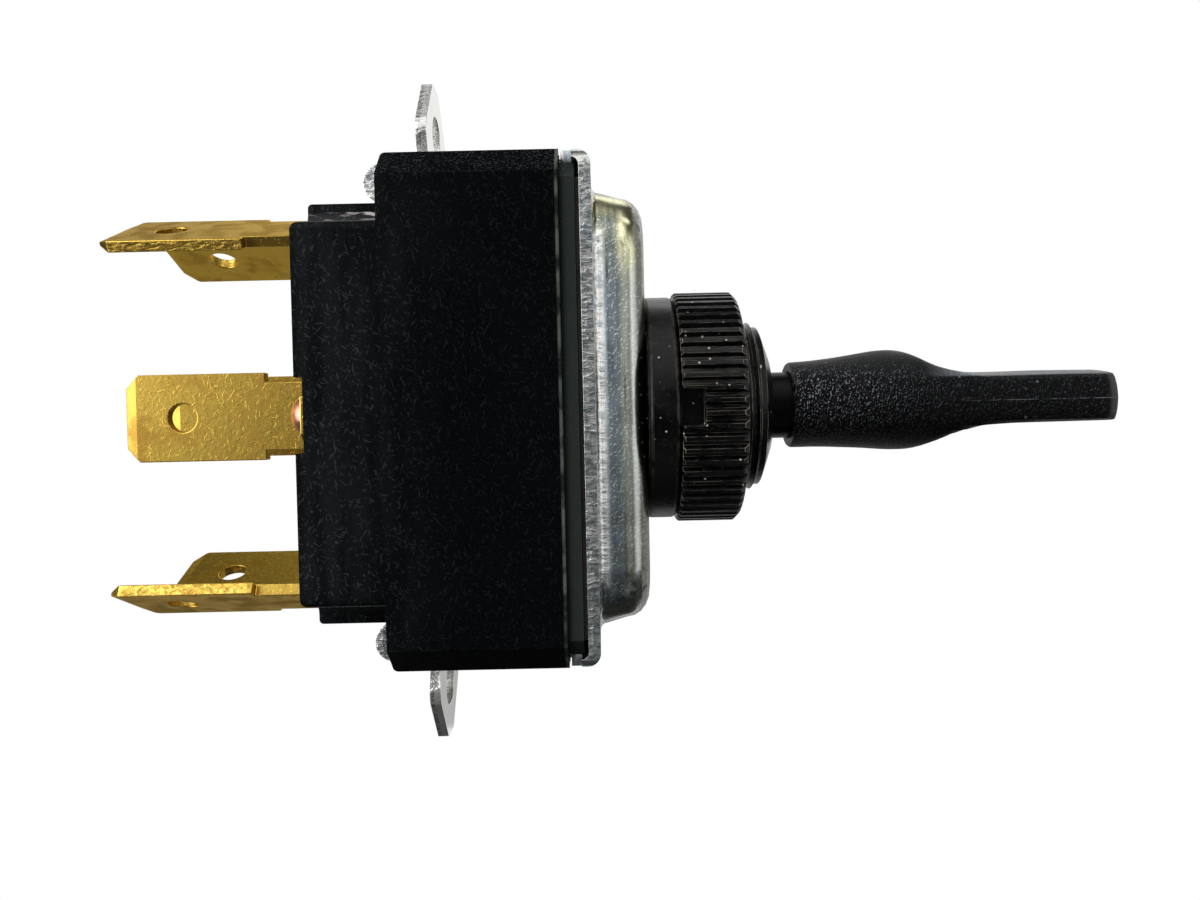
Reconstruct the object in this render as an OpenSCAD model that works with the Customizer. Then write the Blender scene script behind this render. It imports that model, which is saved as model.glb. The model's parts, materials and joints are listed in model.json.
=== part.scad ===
// Panel-mounted double-pole toggle switch with a duckbill lever and six blade terminals.
// X runs out of the panel along the lever, Z is the way the lever toggles, Y crosses the body.
// The origin lies on the lever's axis, in the front face of the cover's dome. Sizes are millimetres.

/* [Housing] */
// Thickness of the body between its broad faces
body_t = 20; // [19:0.5:24]
// Height of the body over its two shoulders
body_h = 35; // [32:0.25:38]
// Height of the chamfer between broad face and shoulder end
end_chamfer_h = 1.9; // [1.5:0.1:3]
// Depth of that chamfer into the broad face
end_chamfer_t = 2; // [1:0.1:2.4]
// Length of the narrowed rim that the cover sits on
rim_len = 1.05; // [0.6:0.05:2]
// Step from the broad face to the rim
rim_step = 0.35; // [0.2:0.05:0.6]
// Length of the body from its rim to the back of the shoulders
shoulder_len = 11.9; // [11.4:0.1:15]
// Length of the rear block behind the shoulders
rear_len = 5.6; // [4.5:0.1:8]
// Step from the shoulder's end down to the rear block
rear_step = 2.9; // [2.9:0.1:3.2]
// Thickness of the rear block's taller middle
rear_mid_t = 12; // [12:0.25:14]
// Step from that middle down to the rear block's side walls
wall_step = 1.9; // [1:0.1:2.1]
// Rounding of the moulded edges
mould_r = 0.6; // [0.3:0.05:0.8]
// Fillet where the side walls meet the taller middle
wall_fillet_r = 1.3; // [0.4:0.1:1.6]
// Depth of the seats for the terminals' feet
foot_recess = 0.55; // [0.3:0.05:0.7]
// Thickness of the rear floor under the feet
floor_t = 2.15; // [1.8:0.05:2.5]
// Thickness of the moulded side walls
wall_t = 1.6; // [1.2:0.1:1.6]
// Thickness of the barrier between the two poles
barrier_t = 1.2; // [0.8:0.1:1.6]

/* [Cover] */
// Thickness of the cover's sheet
sheet_t = 0.8; // [0.6:0.05:1]
// Height of the dome over the flange
dome_rise = 3.55; // [3.25:0.05:4.5]
// Step from the body's end to the dome's foot
dome_end_step = 2.1; // [2:0.1:2.5]
// Step from the body's broad face to the dome's foot
dome_side_step = 1.9; // [1.5:0.1:2]
// Corner radius of the dome, seen from the front
dome_corner_r = 4.6; // [4.2:0.1:6]
// Lean of the dome's walls from foot to shoulder
dome_lean = 0.4; // [0.1:0.05:0.6]
// Rounding at the dome's front edge, measured along the front face
dome_edge_r = 1.9; // [1.5:0.1:2.4]
// Height of that rounding, measured along the lever
dome_edge_h = 1.6; // [1.3:0.1:2]
// Radius of the fillet between flange and dome
dome_foot_r = 0.5; // [0.3:0.05:0.55]
// Inner radius of the bend from flange to strap
bend_r = 0.5; // [0.3:0.05:0.55]
// Corner radius of the flange, seen from the front
flange_corner_r = 1.5; // [0.6:0.1:2]
// Step from the end of that corner to the lip behind the bend
lip_step = 0.1; // [0:0.05:0.6]
// Length of the lip
lip_len = 0.7; // [0.5:0.1:2.5]
// Width of the two straps
strap_w = 12; // [11.5:0.1:12.4]
// Inner radius of the strap's curled end
curl_r = 0.55; // [0.4:0.05:0.6]
// Clearance between strap and housing
strap_gap = 0.1; // [0.05:0.01:0.2]
// Thickness of the insulating sheet under the cover
insulator_t = 0.3; // [0.2:0.05:0.6]

/* [Ears] */
// Distance from the back of the shoulders to the front face of the ears
ear_in = 2.4; // [2:0.1:3]
// Reach of the ear's tip past the body's end
ear_out = 7; // [6.5:0.1:8]
// Greatest width of the ear
ear_w = 8.7; // [7.5:0.1:9]
// Width of the ear at its root
ear_root_w = 6.8; // [6:0.1:7.4]
// Width of the ear at its tip
ear_tip_w = 2.3; // [2:0.1:3.2]
// Diameter of the hole in the ear
ear_hole_d = 3.2; // [2.8:0.1:3.6]
// Distance of that hole from the body's end
ear_hole_out = 3.2; // [2.9:0.1:3.6]

/* [Bushing and nuts] */
// Outer diameter of the bushing's thread
thread_d = 12.6; // [12:0.1:13]
// Reach of the bushing in front of the dome
bushing_len = 9.2; // [9:0.05:10]
// Thickness of the smooth back ring
ring_t = 2.25; // [1.5:0.05:3]
// Outer diameter of the back ring
ring_d = 16.6; // [15:0.1:18]
// Thickness of the knurled nut
nut_t = 4.5; // [4:0.05:5.4]
// Outer diameter of the knurled nut
nut_d = 17.2; // [16:0.1:20]
// Number of ridges round the nut
nut_ridges = 62; // [48:1:72]
// Depth of the grooves between the ridges
groove_depth = 0.38; // [0.2:0.02:0.5]
// Width of the spanner notches in the nut
notch_w = 2.5; // [1.5:0.1:3.5]
// Length of the spanner notches along the nut
notch_len = 1.55; // [1:0.05:2.5]
// Gap between thread and nut
thread_gap = 0.06; // [0.03:0.01:0.1]

/* [Lever] */
// Distance of the lever's pivot in front of the dome
pivot_x = 5.6; // [5:0.1:6]
// Tilt of the lever each way in degrees
lever_deg = 13; // [8:0.5:13]
// Diameter of the bright neck behind the handle
neck_d = 5; // [4.4:0.1:5]
// Diameter of the ball at the pivot
ball_d = 6.2; // [5.8:0.1:6.4]
// Diameter of the lever's inner stem
stem_d = 4.4; // [3.8:0.1:4.4]
// Diameter of the tang inside the handle
tang_d = 4; // [3:0.1:4.4]
// Diameter of the pivot pin
pin_d = 1.6; // [1.2:0.1:2]
// Running clearance of moving pieces
run_gap = 0.05; // [0.02:0.01:0.08]
// Start of the handle in front of the dome
handle_x = 11; // [10.8:0.05:12]
// Length of the handle
handle_len = 23.7; // [22:0.1:27]
// Diameter of the handle at its root
handle_root_d = 6.5; // [6:0.1:7]
// Greatest diameter of the handle
handle_belly_d = 7.64; // [7:0.02:9]
// Thickness of the handle's paddle
paddle_t = 3.86; // [3:0.02:5]
// Width of the handle's paddle
paddle_w = 8.2; // [7:0.1:10]

/* [Terminals] */
// Width of the blades
blade_w = 6.3; // [6:0.05:6.4]
// Thickness of the blades
blade_t = 0.8; // [0.6:0.05:0.9]
// Length of a blade from tip to shoulder
blade_len = 10.15; // [9:0.05:12]
// Distance from the body's rear face to the blade's shoulder
neck_len = 4.15; // [3:0.05:5]
// Width of the neck and foot
foot_w = 4.9; // [4.4:0.1:5]
// Chamfer at the corners of the blade's tip
tip_chamfer = 1; // [0.5:0.05:1.4]
// Length of the bevel at the blade's tip
tip_bevel = 0.85; // [0.5:0.05:1.2]
// Diameter of the hole in the blade
blade_hole_d = 2.1; // [1.6:0.1:2.4]
// Distance of that hole from the blade's tip
blade_hole_in = 4.15; // [3:0.05:4.5]
// Distance of the middle blades from the broad faces
middle_in = 6.6; // [6.2:0.1:6.8]
// Distance of the upper and lower blades from the middle of the body
end_blade_y = 4.4; // [4.3:0.05:4.5]
// Distance of the upper and lower blades from the body's ends
end_blade_in = 4.55; // [4.35:0.05:4.6]
// Tilt of the upper and lower blades in degrees
blade_tilt = 23; // [19:1:23]
// Distance from the upper and lower blades to their rivets, along the foot
end_reach = 4; // [3.9:0.05:4.1]
// Length of foot behind the rivet
foot_margin = 2; // [1.6:0.1:2.2]
// Cut across the corners of the foot
foot_cut = 1.2; // [1.2:0.05:1.5]
// Diameter of the rivets' shanks
rivet_d = 2; // [1.6:0.1:2.2]
// Diameter of the rivets' heads
rivet_head_d = 3; // [2.6:0.1:3.2]
// Height of the rivets' heads
rivet_head_h = 1.2; // [0.5:0.05:1.3]

/* [Contacts] */
// Tilt of the contact rockers each way in degrees
rocker_deg = 5.4; // [4:0.1:5.4]
// Thickness of the rockers' strip
rocker_t = 0.9; // [0.6:0.05:1]
// Width of the rockers' strip
rocker_w = 2.8; // [2.4:0.1:3]
// Radius of the trough that the plunger rides in
trough_r = 14; // [13:0.25:18]
// Diameter of the contact buttons
contact_d = 2.8; // [2.2:0.1:3]
// Height of the moving contact buttons
moving_h = 0.8; // [0.6:0.05:1]
// Height of the fixed contact buttons
fixed_h = 0.55; // [0.4:0.05:0.7]
// Thickness of the fulcrums' base plates
fulcrum_t = 0.8; // [0.6:0.05:1]
// Radius of the round ridge that a rocker tips on
ridge_r = 0.5; // [0.4:0.05:0.6]
// Diameter of the plungers
plunger_d = 2.8; // [2.2:0.1:2.8]
// Travel of the plungers against their springs
plunger_travel = 0.6; // [0.4:0.1:0.8]
// Depth of the plungers' sockets
socket_depth = 5.3; // [4.8:0.1:5.5]
// Thickness of the actuator, the way the lever toggles
actuator_h = 6; // [5:0.1:6.4]
// Wire of the plunger springs
spring_wire = 0.36; // [0.25:0.01:0.4]
// Turns of the plunger springs
spring_turns = 4; // [3:1:4]

/* [Hidden] */
$fn = 64;

// A cut runs this far past the faces it opens
past = 1;
// Sheets and mouldings of one assembly that only lie against each other
seat_gap = 0.05;
near = -1;
far = 1;

// Stations along X, from the dome back to the floor
flange_front = -dome_rise;
flange_back = flange_front - sheet_t;
rim_x = flange_back - insulator_t;
step_x = rim_x - rim_len;
shoulder_x = step_x - shoulder_len;
rear_x = shoulder_x - rear_len;
foot_x = rear_x + foot_recess;
floor_x = foot_x + floor_t;

// Heights and thicknesses that follow the body
rear_h = body_h - 2 * rear_step;
wall_h = rear_h - 2 * wall_step;
dome_h = body_h - 2 * dome_end_step;
dome_t = body_t - 2 * dome_side_step;
ear_reach = body_h / 2 + ear_out;
ear_hole_z = body_h / 2 + ear_hole_out;
blade_z = body_h / 2 - end_blade_in;
middle_blade_y = body_t / 2 - middle_in;

// Cover: strap, curl and ear
strap_out = body_h / 2 - 0.15;
strap_in = strap_out - sheet_t;
flange_w = body_t - 2 * rim_step;
lip_w = flange_w - 2 * (flange_corner_r + lip_step);
lip_x = flange_front - sheet_t - bend_r;
curl_x = shoulder_x - 0.4;
curl_out = curl_r + sheet_t;
ear_front = shoulder_x + ear_in;
ear_back = ear_front - sheet_t;
ear_bend_r = 0.45;
ear_widest_z = ear_hole_z - 0.1;
window_gap = 0.25;

// Housing: cavity of each pole
cavity_y = body_t / 2 - wall_t;
cavity_h = wall_h - 2 * wall_t + 0.8;
deep_y = rear_mid_t / 2 - wall_t;
deep_h = rear_h - 2 * wall_t;

// Poles: the end terminals' rivets give the line of each pole
pole_y = end_blade_y - end_reach * sin(blade_tilt);
pole_z = blade_z - end_reach * cos(blade_tilt);
rivet_room = 0.7;
middle_rivet_y = cavity_y - rivet_head_d / 2 - rivet_room;
contact_slack = 0.06;
foot_bend_r = 0.4;
contact_gap = (pole_z + contact_d / 2) * sin(rocker_deg) + contact_slack;
wing_x = floor_x + fixed_h + contact_gap + moving_h;
ridge_in = 0.3;
ridge_x = wing_x + ridge_in - seat_gap - ridge_r;
rocker_half = pole_z + contact_d / 2 + 0.4;

// Lever: actuator and plungers behind the pivot
tip_gap = 0.1;
tip_x = wing_x + rocker_t + tip_gap;
actuator_drop = 3.6;
actuator_back = tip_x + actuator_drop;
socket_end = actuator_back + socket_depth;
spring_room = (spring_turns + 1) * spring_wire + plunger_travel;
plunger_end = socket_end - spring_room;
socket_cap = 0.6;
stem_end = socket_end + socket_cap;
stem_hold = 2.6;
actuator_front = stem_end + stem_hold;
actuator_y = pole_y + plunger_d / 2 + run_gap + 0.9;
belly_share = 0.31;
tang_end = handle_x + belly_share * handle_len;
tang_gap = 0.06;
lever_room = 0.15;

// Bushing bore: room for the lever at both ends of its tilt
mouth_r = (bushing_len - pivot_x) * tan(lever_deg) + neck_d / 2 / cos(lever_deg) + lever_room;
waist_r = ball_d / 2 + lever_room;
bushing_foot_t = 1.5;
bushing_foot_r = thread_d / 2 + 1.7;
bushing_foot_w = dome_t - 2 * (dome_lean + dome_edge_r) - 0.6;
bushing_back = -sheet_t - bushing_foot_t;
inner_r = (pivot_x - bushing_back) * tan(lever_deg) + stem_d / 2 / cos(lever_deg) + lever_room;
nut_x = ring_t + seat_gap;

// Finishes, as the photograph shows them
MOULDED = [0.05, 0.05, 0.06];
PLATED = [0.74, 0.75, 0.74];
BRASS = [0.78, 0.58, 0.24];
COPPER = [0.78, 0.45, 0.32];
SILVER = [0.86, 0.86, 0.84];
FIBRE = [0.25, 0.2, 0.16];

// Turn a shape that stands on Z so that it lies along X
module along_x() {
    rotate([0, 90, 0]) children();
}

// Extrude an outline drawn in Y and Z from x0 to x1
module from_front(x0, x1) {
    translate([x0, 0, 0])
        rotate([90, 0, 90]) linear_extrude(x1 - x0) children();
}

// Extrude an outline drawn in X and Z across the body
module from_side(width) {
    rotate([90, 0, 0]) linear_extrude(width, center = true) children();
}

// Draw children here and mirrored to the other end of the body
module both_ends() {
    children();
    mirror([0, 0, 1]) children();
}

// Draw children on the far side and mirrored to the near side
module both_sides() {
    children();
    mirror([0, 1, 0]) children();
}

function unit(v) = v / norm(v);

// Points of one rounded corner at b between a and c
function corner_arc(a, b, c, r, steps) =
    let (
        u = unit(a - b),
        w = unit(c - b),
        half = acos(u * w) / 2,
        centre = b + unit(u + w) * r / sin(half),
        start = b + u * r / tan(half) - centre,
        stop = b + w * r / tan(half) - centre,
        from = atan2(start.y, start.x),
        turn = (atan2(stop.y, stop.x) - from + 540) % 360 - 180
    )
    [for (i = [0:steps]) centre + r * [cos(from + turn * i / steps), sin(from + turn * i / steps)]];

// Outline through points [x, y, corner radius]
function rounded(points, steps = 6) =
    let (n = len(points), at = [for (p = points) [p[0], p[1]]])
    [for (i = [0:n - 1]) each
        points[i][2] == 0
            ? [at[i]]
            : corner_arc(at[(i + n - 1) % n], at[i], at[(i + 1) % n], points[i][2], steps)];

// Eight-sided section of the shoulders, drawn in by inset
module shoulder_outline(inset = 0) {
    y = body_t / 2 - inset;
    z = body_h / 2 - inset;
    polygon([
        for (s = [[1, 1], [-1, 1], [-1, -1], [1, -1]]) each
            s.x * s.y > 0
                ? [[s.x * y, s.y * (z - end_chamfer_h)], [s.x * (y - end_chamfer_t), s.y * z]]
                : [[s.x * (y - end_chamfer_t), s.y * z], [s.x * y, s.y * (z - end_chamfer_h)]]
    ]);
}

// Stepped section of the rear block, with a fillet where the side walls meet the taller middle
module rear_outline() {
    y = body_t / 2;
    m = rear_mid_t / 2;
    w = wall_h / 2;
    h = rear_h / 2;
    polygon(rounded([
        [y, w, mould_r], [m, w, wall_fillet_r], [m, h, 0],
        [-m, h, 0], [-m, w, wall_fillet_r], [-y, w, mould_r],
        [-y, -w, mould_r], [-m, -w, wall_fillet_r], [-m, -h, 0],
        [m, -h, 0], [m, -w, wall_fillet_r], [y, -w, mould_r]
    ]));
}

// Side view of a length of the moulding from x0 to x1, its back corners rounded
module side_outline(x0, x1, height, r) {
    h = height / 2;
    polygon(rounded([[x0, h, r], [x1, h, 0], [x1, -h, 0], [x0, -h, r]]));
}

// Rear block: stepped section, rounded at the back of its walls and of its taller middle
module rear_block() {
    front = shoulder_x + past;
    intersection() {
        from_front(rear_x, shoulder_x) rear_outline();
        union() {
            from_side(body_t + 2 * past) side_outline(rear_x, front, wall_h, mould_r);
            from_side(rear_mid_t + 2 * wall_fillet_r) side_outline(rear_x, front, rear_h, mould_r / 2);
        }
    }
}

// Shoulders, rounded at the back of their ends
module shoulders() {
    intersection() {
        from_front(shoulder_x, step_x) shoulder_outline();
        from_side(body_t + 2 * past) side_outline(shoulder_x, step_x + past, body_h, mould_r / 2);
    }
}

// Room of one pole, on the far side
module pole_cavity() {
    front = rim_x + past;
    from_front(floor_x, front)
        translate([barrier_t / 2, -cavity_h / 2])
            square([cavity_y - barrier_t / 2, cavity_h]);
    from_front(floor_x, front)
        translate([barrier_t / 2, -deep_h / 2])
            square([deep_y - barrier_t / 2, deep_h]);
}

// Room in front of the barrier, where the actuator swings
module swing_cavity() {
    from_front(actuator_back - 1, rim_x + past)
        square([2 * cavity_y, cavity_h], center = true);
}

// Seat of one terminal's foot, cut into the rear face of the body
module foot_seat(length) {
    reach = blade_t / 2 + seat_gap;
    translate([rear_x - past, -length, -foot_w / 2 - seat_gap])
        cube([foot_recess + past, length + reach, foot_w + 2 * seat_gap]);
}

module housing() {
    color(MOULDED) difference() {
        union() {
            rear_block();
            shoulders();
            from_front(step_x, rim_x) shoulder_outline(rim_step);
        }
        both_sides() pole_cavity();
        swing_cavity();
        both_ends() strap_seat();
        for (t = TERMINALS) {
            at_terminal(t) foot_seat(is_middle(t) ? body_t : end_reach + foot_margin + seat_gap);
            at_rivet(t) translate([rear_x - past, 0, 0])
                along_x() cylinder(h = floor_x - rear_x + 2 * past, d = rivet_d + 2 * seat_gap);
        }
    }
}

// Channel in the end of the body that takes the strap, wide at the lip and open at the back
module strap_seat() {
    depth = strap_in - strap_gap;
    narrow = strap_w + 2 * strap_gap;
    wide = body_t + 2 * past;
    translate([shoulder_x - past, -narrow / 2, depth])
        cube([lip_x - shoulder_x + past, narrow, body_h]);
    translate([lip_x - lip_len - strap_gap, -wide / 2, depth])
        cube([rim_x - lip_x + lip_len + strap_gap + past, wide, body_h]);
}

// Outline of the strap and its curled end, side view of the upper end
module strap_outline() {
    translate([curl_x, strap_in]) square([lip_x - curl_x, sheet_t]);
    translate([curl_x, strap_in - curl_r]) difference() {
        circle(curl_out);
        circle(curl_r);
        translate([0, -2 * curl_out]) square(4 * curl_out);
    }
    translate([curl_x, strap_in - 2 * curl_r - sheet_t]) square([0.25, sheet_t]);
}

// Outline of the bend from flange to strap, side view of the upper end
module bend_outline() {
    translate([lip_x, strap_in - bend_r]) intersection() {
        difference() {
            circle(bend_r + sheet_t);
            circle(bend_r);
        }
        square(2 * (bend_r + sheet_t));
    }
}

// Outline of the lip behind the bend
module lip_outline() {
    translate([0, strap_in]) square([lip_len, sheet_t]);
}

// Outline of one ear from its root outwards, grown by margin
module ear_outline(root_z, margin = 0) {
    w = ear_w / 2 + margin;
    t = ear_tip_w / 2 + margin;
    b = ear_root_w / 2 + margin;
    tip = ear_reach + margin;
    polygon(rounded([
        [-b, root_z, 0], [b, root_z, 0], [w, ear_widest_z, 1.6],
        [t, tip, 0.6], [-t, tip, 0.6], [-w, ear_widest_z, 1.6]
    ]));
}

// Ear folded up from the strap, with the bend at its root
module ear() {
    root = strap_out + ear_bend_r;
    difference() {
        from_front(ear_back, ear_front) ear_outline(root);
        translate([ear_back - past, 0, ear_hole_z])
            along_x() cylinder(h = sheet_t + 2 * past, d = ear_hole_d);
    }
    translate([ear_back - ear_bend_r, 0, root]) from_side(ear_root_w) intersection() {
        difference() {
            circle(ear_bend_r + sheet_t);
            circle(ear_bend_r);
        }
        translate([0, -2 * sheet_t - 2 * ear_bend_r]) square(2 * (sheet_t + ear_bend_r));
    }
}

// Window that the ear leaves in the strap
module ear_window() {
    root = ear_back - ear_bend_r;
    spread = ear_reach - strap_out;
    grow = window_gap;
    w = ear_w / 2 + grow;
    translate([0, 0, strap_in - past])
        linear_extrude(sheet_t + 2 * past)
            polygon(rounded([
                [root, -ear_root_w / 2 - grow, 0], [root, ear_root_w / 2 + grow, 0],
                [root + ear_widest_z - strap_out, w, 1.6], [root + spread + grow, ear_tip_w / 2 + grow, 0.5],
                [root + spread + grow, -ear_tip_w / 2 - grow, 0.5], [root + ear_widest_z - strap_out, -w, 1.6]
            ]));
}

// Section of the dome's sheet from its middle out to the flange, as [height, distance from corner axis]
function dome_section() =
    let (
        wall = dome_corner_r,
        crown = wall - dome_lean - dome_edge_r,
        rise = dome_rise - dome_edge_h,
        steps = 5,
        turns = [for (i = [0:steps]) 90 * i / steps]
    )
    concat(
        [for (a = turns) [dome_foot_r * (1 - cos(a)), wall + dome_foot_r * (1 - sin(a))]],
        [for (a = turns)
            [rise + (dome_rise - rise) * sin(a), wall - dome_lean - dome_edge_r * (1 - cos(a))]],
        [[dome_rise, 0], [dome_rise - sheet_t, 0], [dome_rise - sheet_t, crown]],
        [for (i = [steps - 1:-1:0])
            [
                rise + (dome_rise - sheet_t - rise) * sin(turns[i]),
                crown + (dome_edge_r - sheet_t) * cos(turns[i])
            ]],
        [for (i = [steps:-1:0])
            [
                dome_foot_r - (dome_foot_r + sheet_t) * cos(turns[i]),
                wall + dome_foot_r - (dome_foot_r + sheet_t) * sin(turns[i])
            ]]
    );

// Drawn dome: four turned corners, four straight walls and the pierced front
module dome() {
    y = dome_t / 2 - dome_corner_r;
    z = dome_h / 2 - dome_corner_r;
    section = dome_section();
    translate([flange_front, 0, 0]) both_ends() {
        both_sides() translate([0, y, z]) mirror([0, 0, 1]) along_x()
            rotate_extrude(angle = 90) polygon([for (p = section) [p.y, p.x]]);
        translate([0, 0, z]) from_side(2 * y) polygon(section);
    }
    difference() {
        union() {
            translate([flange_front, 0, 0]) both_sides()
                translate([0, y, 0]) linear_extrude(2 * z, center = true) polygon(section);
            from_front(-sheet_t, 0) square([2 * y, 2 * z], center = true);
        }
        translate([-sheet_t - past, 0, 0])
            along_x() cylinder(h = sheet_t + 2 * past, d = thread_d + 2 * seat_gap);
    }
}

// Outline of the dome's foot, where its fillet meets the flange
module dome_foot() {
    y = dome_t / 2 - dome_corner_r;
    z = dome_h / 2 - dome_corner_r;
    r = dome_corner_r + dome_foot_r;
    square([2 * (y + r), 2 * z], center = true);
    square([2 * y, 2 * (z + r)], center = true);
    for (sy = [-y, y], sz = [-z, z]) translate([sy, sz]) circle(r);
}

// Front view of the flange with its rounded corners
module flange_outline() {
    y = flange_w / 2;
    z = strap_out;
    r = flange_corner_r;
    polygon(rounded([[y, z, r], [-y, z, r], [-y, -z, r], [y, -z, r]]));
}

// Flat flange round the dome's foot, with the bends at its ends
module flange() {
    intersection() {
        union() {
            from_front(flange_back, flange_front)
                square([flange_w, 2 * (strap_in - bend_r)], center = true);
            both_ends() from_side(flange_w) bend_outline();
        }
        from_front(lip_x - past, flange_front + past) difference() {
            flange_outline();
            dome_foot();
        }
    }
}

module cover() {
    color(PLATED) {
        dome();
        flange();
        both_ends() {
            translate([lip_x - lip_len, 0, 0]) from_side(lip_w) lip_outline();
            difference() {
                from_side(strap_w) strap_outline();
                ear_window();
            }
            ear();
        }
    }
}

// Fibre sheet held between rim and flange, slotted for the lever
module insulator() {
    slot_h = 2 * ((pivot_x - rim_x) * tan(lever_deg) + actuator_h / 2 + 0.6);
    color(FIBRE) from_front(rim_x + seat_gap / 2, flange_back - seat_gap / 2) difference() {
        square([flange_w - 0.6, 2 * (strap_in - bend_r - sheet_t)], center = true);
        square([2 * actuator_y + 1, slot_h], center = true);
    }
}

// Threaded collar with an oblong foot under the dome, its bore flared both ways from the pivot
module bushing() {
    r = thread_d / 2;
    foot_top = -sheet_t - seat_gap;
    groove = 0.35;
    nose = 0.75;
    lip = 0.45;
    color(MOULDED) difference() {
        union() {
            along_x() rotate_extrude() polygon([
                [0, bushing_back], [bushing_foot_w / 2, bushing_back], [bushing_foot_w / 2, foot_top], [r, foot_top],
                [r, bushing_len - 1.35], [r - groove, bushing_len - 1.15], [r - groove, bushing_len - nose],
                [mouth_r + lip, bushing_len], [0, bushing_len]
            ]);
            from_front(bushing_back, foot_top) intersection() {
                circle(bushing_foot_r);
                square([bushing_foot_w, 2 * bushing_foot_r], center = true);
            }
        }
        along_x() rotate_extrude() polygon([
            [0, bushing_back - past], [inner_r + past * tan(lever_deg), bushing_back - past],
            [waist_r, pivot_x - 1], [waist_r, pivot_x + 1],
            [mouth_r + past * tan(lever_deg), bushing_len + past], [0, bushing_len + past]
        ]);
        translate([pivot_x, 0, 0]) rotate([90, 0, 0]) cylinder(h = 2 * thread_d, d = pin_d, center = true);
    }
}

// Smooth ring between dome and nut, with broken edges
module back_ring() {
    r = ring_d / 2;
    edge = 0.25;
    bore = thread_d / 2 + thread_gap;
    color(MOULDED) along_x() rotate_extrude() polygon([
        [bore, 0], [r - edge, 0], [r, edge], [r, ring_t - edge], [r - edge, ring_t], [bore, ring_t]
    ]);
}

// Ring nut with axial ridges, a chamfered front and two spanner notches in its back
module knurled_nut() {
    r = nut_d / 2;
    bore = thread_d / 2 + thread_gap;
    back_edge = 0.15;
    front_edge = 0.35;
    pitch = 360 / nut_ridges;
    color(MOULDED) translate([nut_x, 0, 0]) difference() {
        intersection() {
            along_x() linear_extrude(nut_t) polygon([
                for (i = [0:nut_ridges - 1], p = [[-0.47, 1], [-0.3, 0], [0.3, 0], [0.47, 1]])
                    (r - p[1] * groove_depth) * [cos((i + p[0]) * pitch), sin((i + p[0]) * pitch)]
            ]);
            along_x() rotate_extrude() polygon([
                [0, 0], [r - back_edge, 0], [r, back_edge],
                [r, nut_t - front_edge], [r - front_edge, nut_t], [0, nut_t]
            ]);
        }
        translate([-past, 0, 0]) along_x() cylinder(h = nut_t + 2 * past, r = bore);
        both_sides() translate([-past, bore + 0.9, -notch_w / 2])
            cube([notch_len + past, r, notch_w]);
    }
}

// Turned lever: tang for the handle, neck, pivot ball and inner stem
module lever_stem() {
    ball_r = ball_d / 2;
    color(MOULDED) difference() {
        union() {
            translate([handle_x - past, 0, 0]) along_x() cylinder(h = tang_end - handle_x + past, d = tang_d);
            translate([pivot_x, 0, 0]) along_x() cylinder(h = handle_x - pivot_x, d = neck_d);
            translate([pivot_x, 0, 0]) sphere(ball_r);
            translate([stem_end, 0, 0]) along_x() cylinder(h = pivot_x - stem_end, d = stem_d);
        }
        translate([pivot_x, 0, 0]) rotate([90, 0, 0])
            cylinder(h = 2 * ball_d, d = pin_d + 2 * run_gap, center = true);
    }
}

// Pin across the bushing that the lever tilts on
module pivot_pin() {
    color(SILVER) translate([pivot_x, 0, 0]) rotate([90, 0, 0])
        cylinder(h = thread_d - 0.8, d = pin_d, center = true);
}

// Smooth curve through the rows of a list, at row i plus a share f
function smooth(rows, i, f) =
    let (
        n = len(rows) - 1,
        a = rows[max(i - 1, 0)],
        b = rows[i],
        c = rows[min(i + 1, n)],
        d = rows[min(i + 2, n)]
    )
    0.5 * (2 * b + (c - a) * f + (2 * a - 5 * b + 4 * c - d) * f * f + (3 * b - a - 3 * c + d) * f * f * f);

// The rows of a list with a point between each two
function smooth_rows(rows) = [
    for (i = [0:len(rows) - 2], f = [0, 0.5]) smooth(rows, i, f),
    rows[len(rows) - 1]
];

// Half width of the handle, as [share of its length, half width]
function handle_plan() =
    let (root = handle_root_d / 2, belly = handle_belly_d / 2, w = paddle_w / 2)
    [
        [0, root - 0.25], [0.012, root], [0.09, root + 0.08], [0.19, root + 0.28], [belly_share, belly],
        [0.4, belly + 0.02], [0.56, belly + 0.55 * (w - belly)], [0.75, w - 0.05], [0.87, w],
        [0.92, w], [0.951, w - 0.145], [0.977, w - 0.56], [0.994, w - 1.17], [1, w - 1.9]
    ];

// Half height of the handle from its belly to its tip, as [share of its length, half height]
function handle_side() =
    let (belly = handle_belly_d / 2, t = paddle_t / 2, drop = belly - t)
    [
        [belly_share, belly + 0.25], [0.37, t + 0.95 * drop], [0.435, t + 0.68 * drop],
        [0.495, t + 0.42 * drop], [0.56, t + 0.19 * drop], [0.64, t + 0.07 * drop], [0.75, t],
        [0.88, t - 0.03], [0.955, t - 0.05], [0.98, t - 0.12], [0.994, t - 0.3], [1, t - 0.6]
    ];

// Side view of the handle, drawn plain or with the points between
module handle_outline(rows) {
    root = handle_belly_d / 2 + 0.25;
    polygon(concat(
        [[handle_x - past, -root], [handle_x - past, root]],
        [for (q = rows) [handle_x + q[0] * handle_len, q[1]]],
        [for (i = [len(rows) - 1:-1:0]) [handle_x + rows[i][0] * handle_len, -rows[i][1]]]
    ));
}

// Side view of the slopes of the crowned faces
module crown_outline() {
    t = paddle_t / 2;
    root = handle_belly_d / 2 + 1;
    start = handle_x + 0.36 * handle_len;
    stop = handle_x + 0.6 * handle_len;
    end = handle_x + handle_len + past;
    polygon([
        [handle_x - past, root], [start, root], [stop, t], [end, t],
        [end, -t], [stop, -t], [start, -root], [handle_x - past, -root]
    ]);
}

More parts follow.
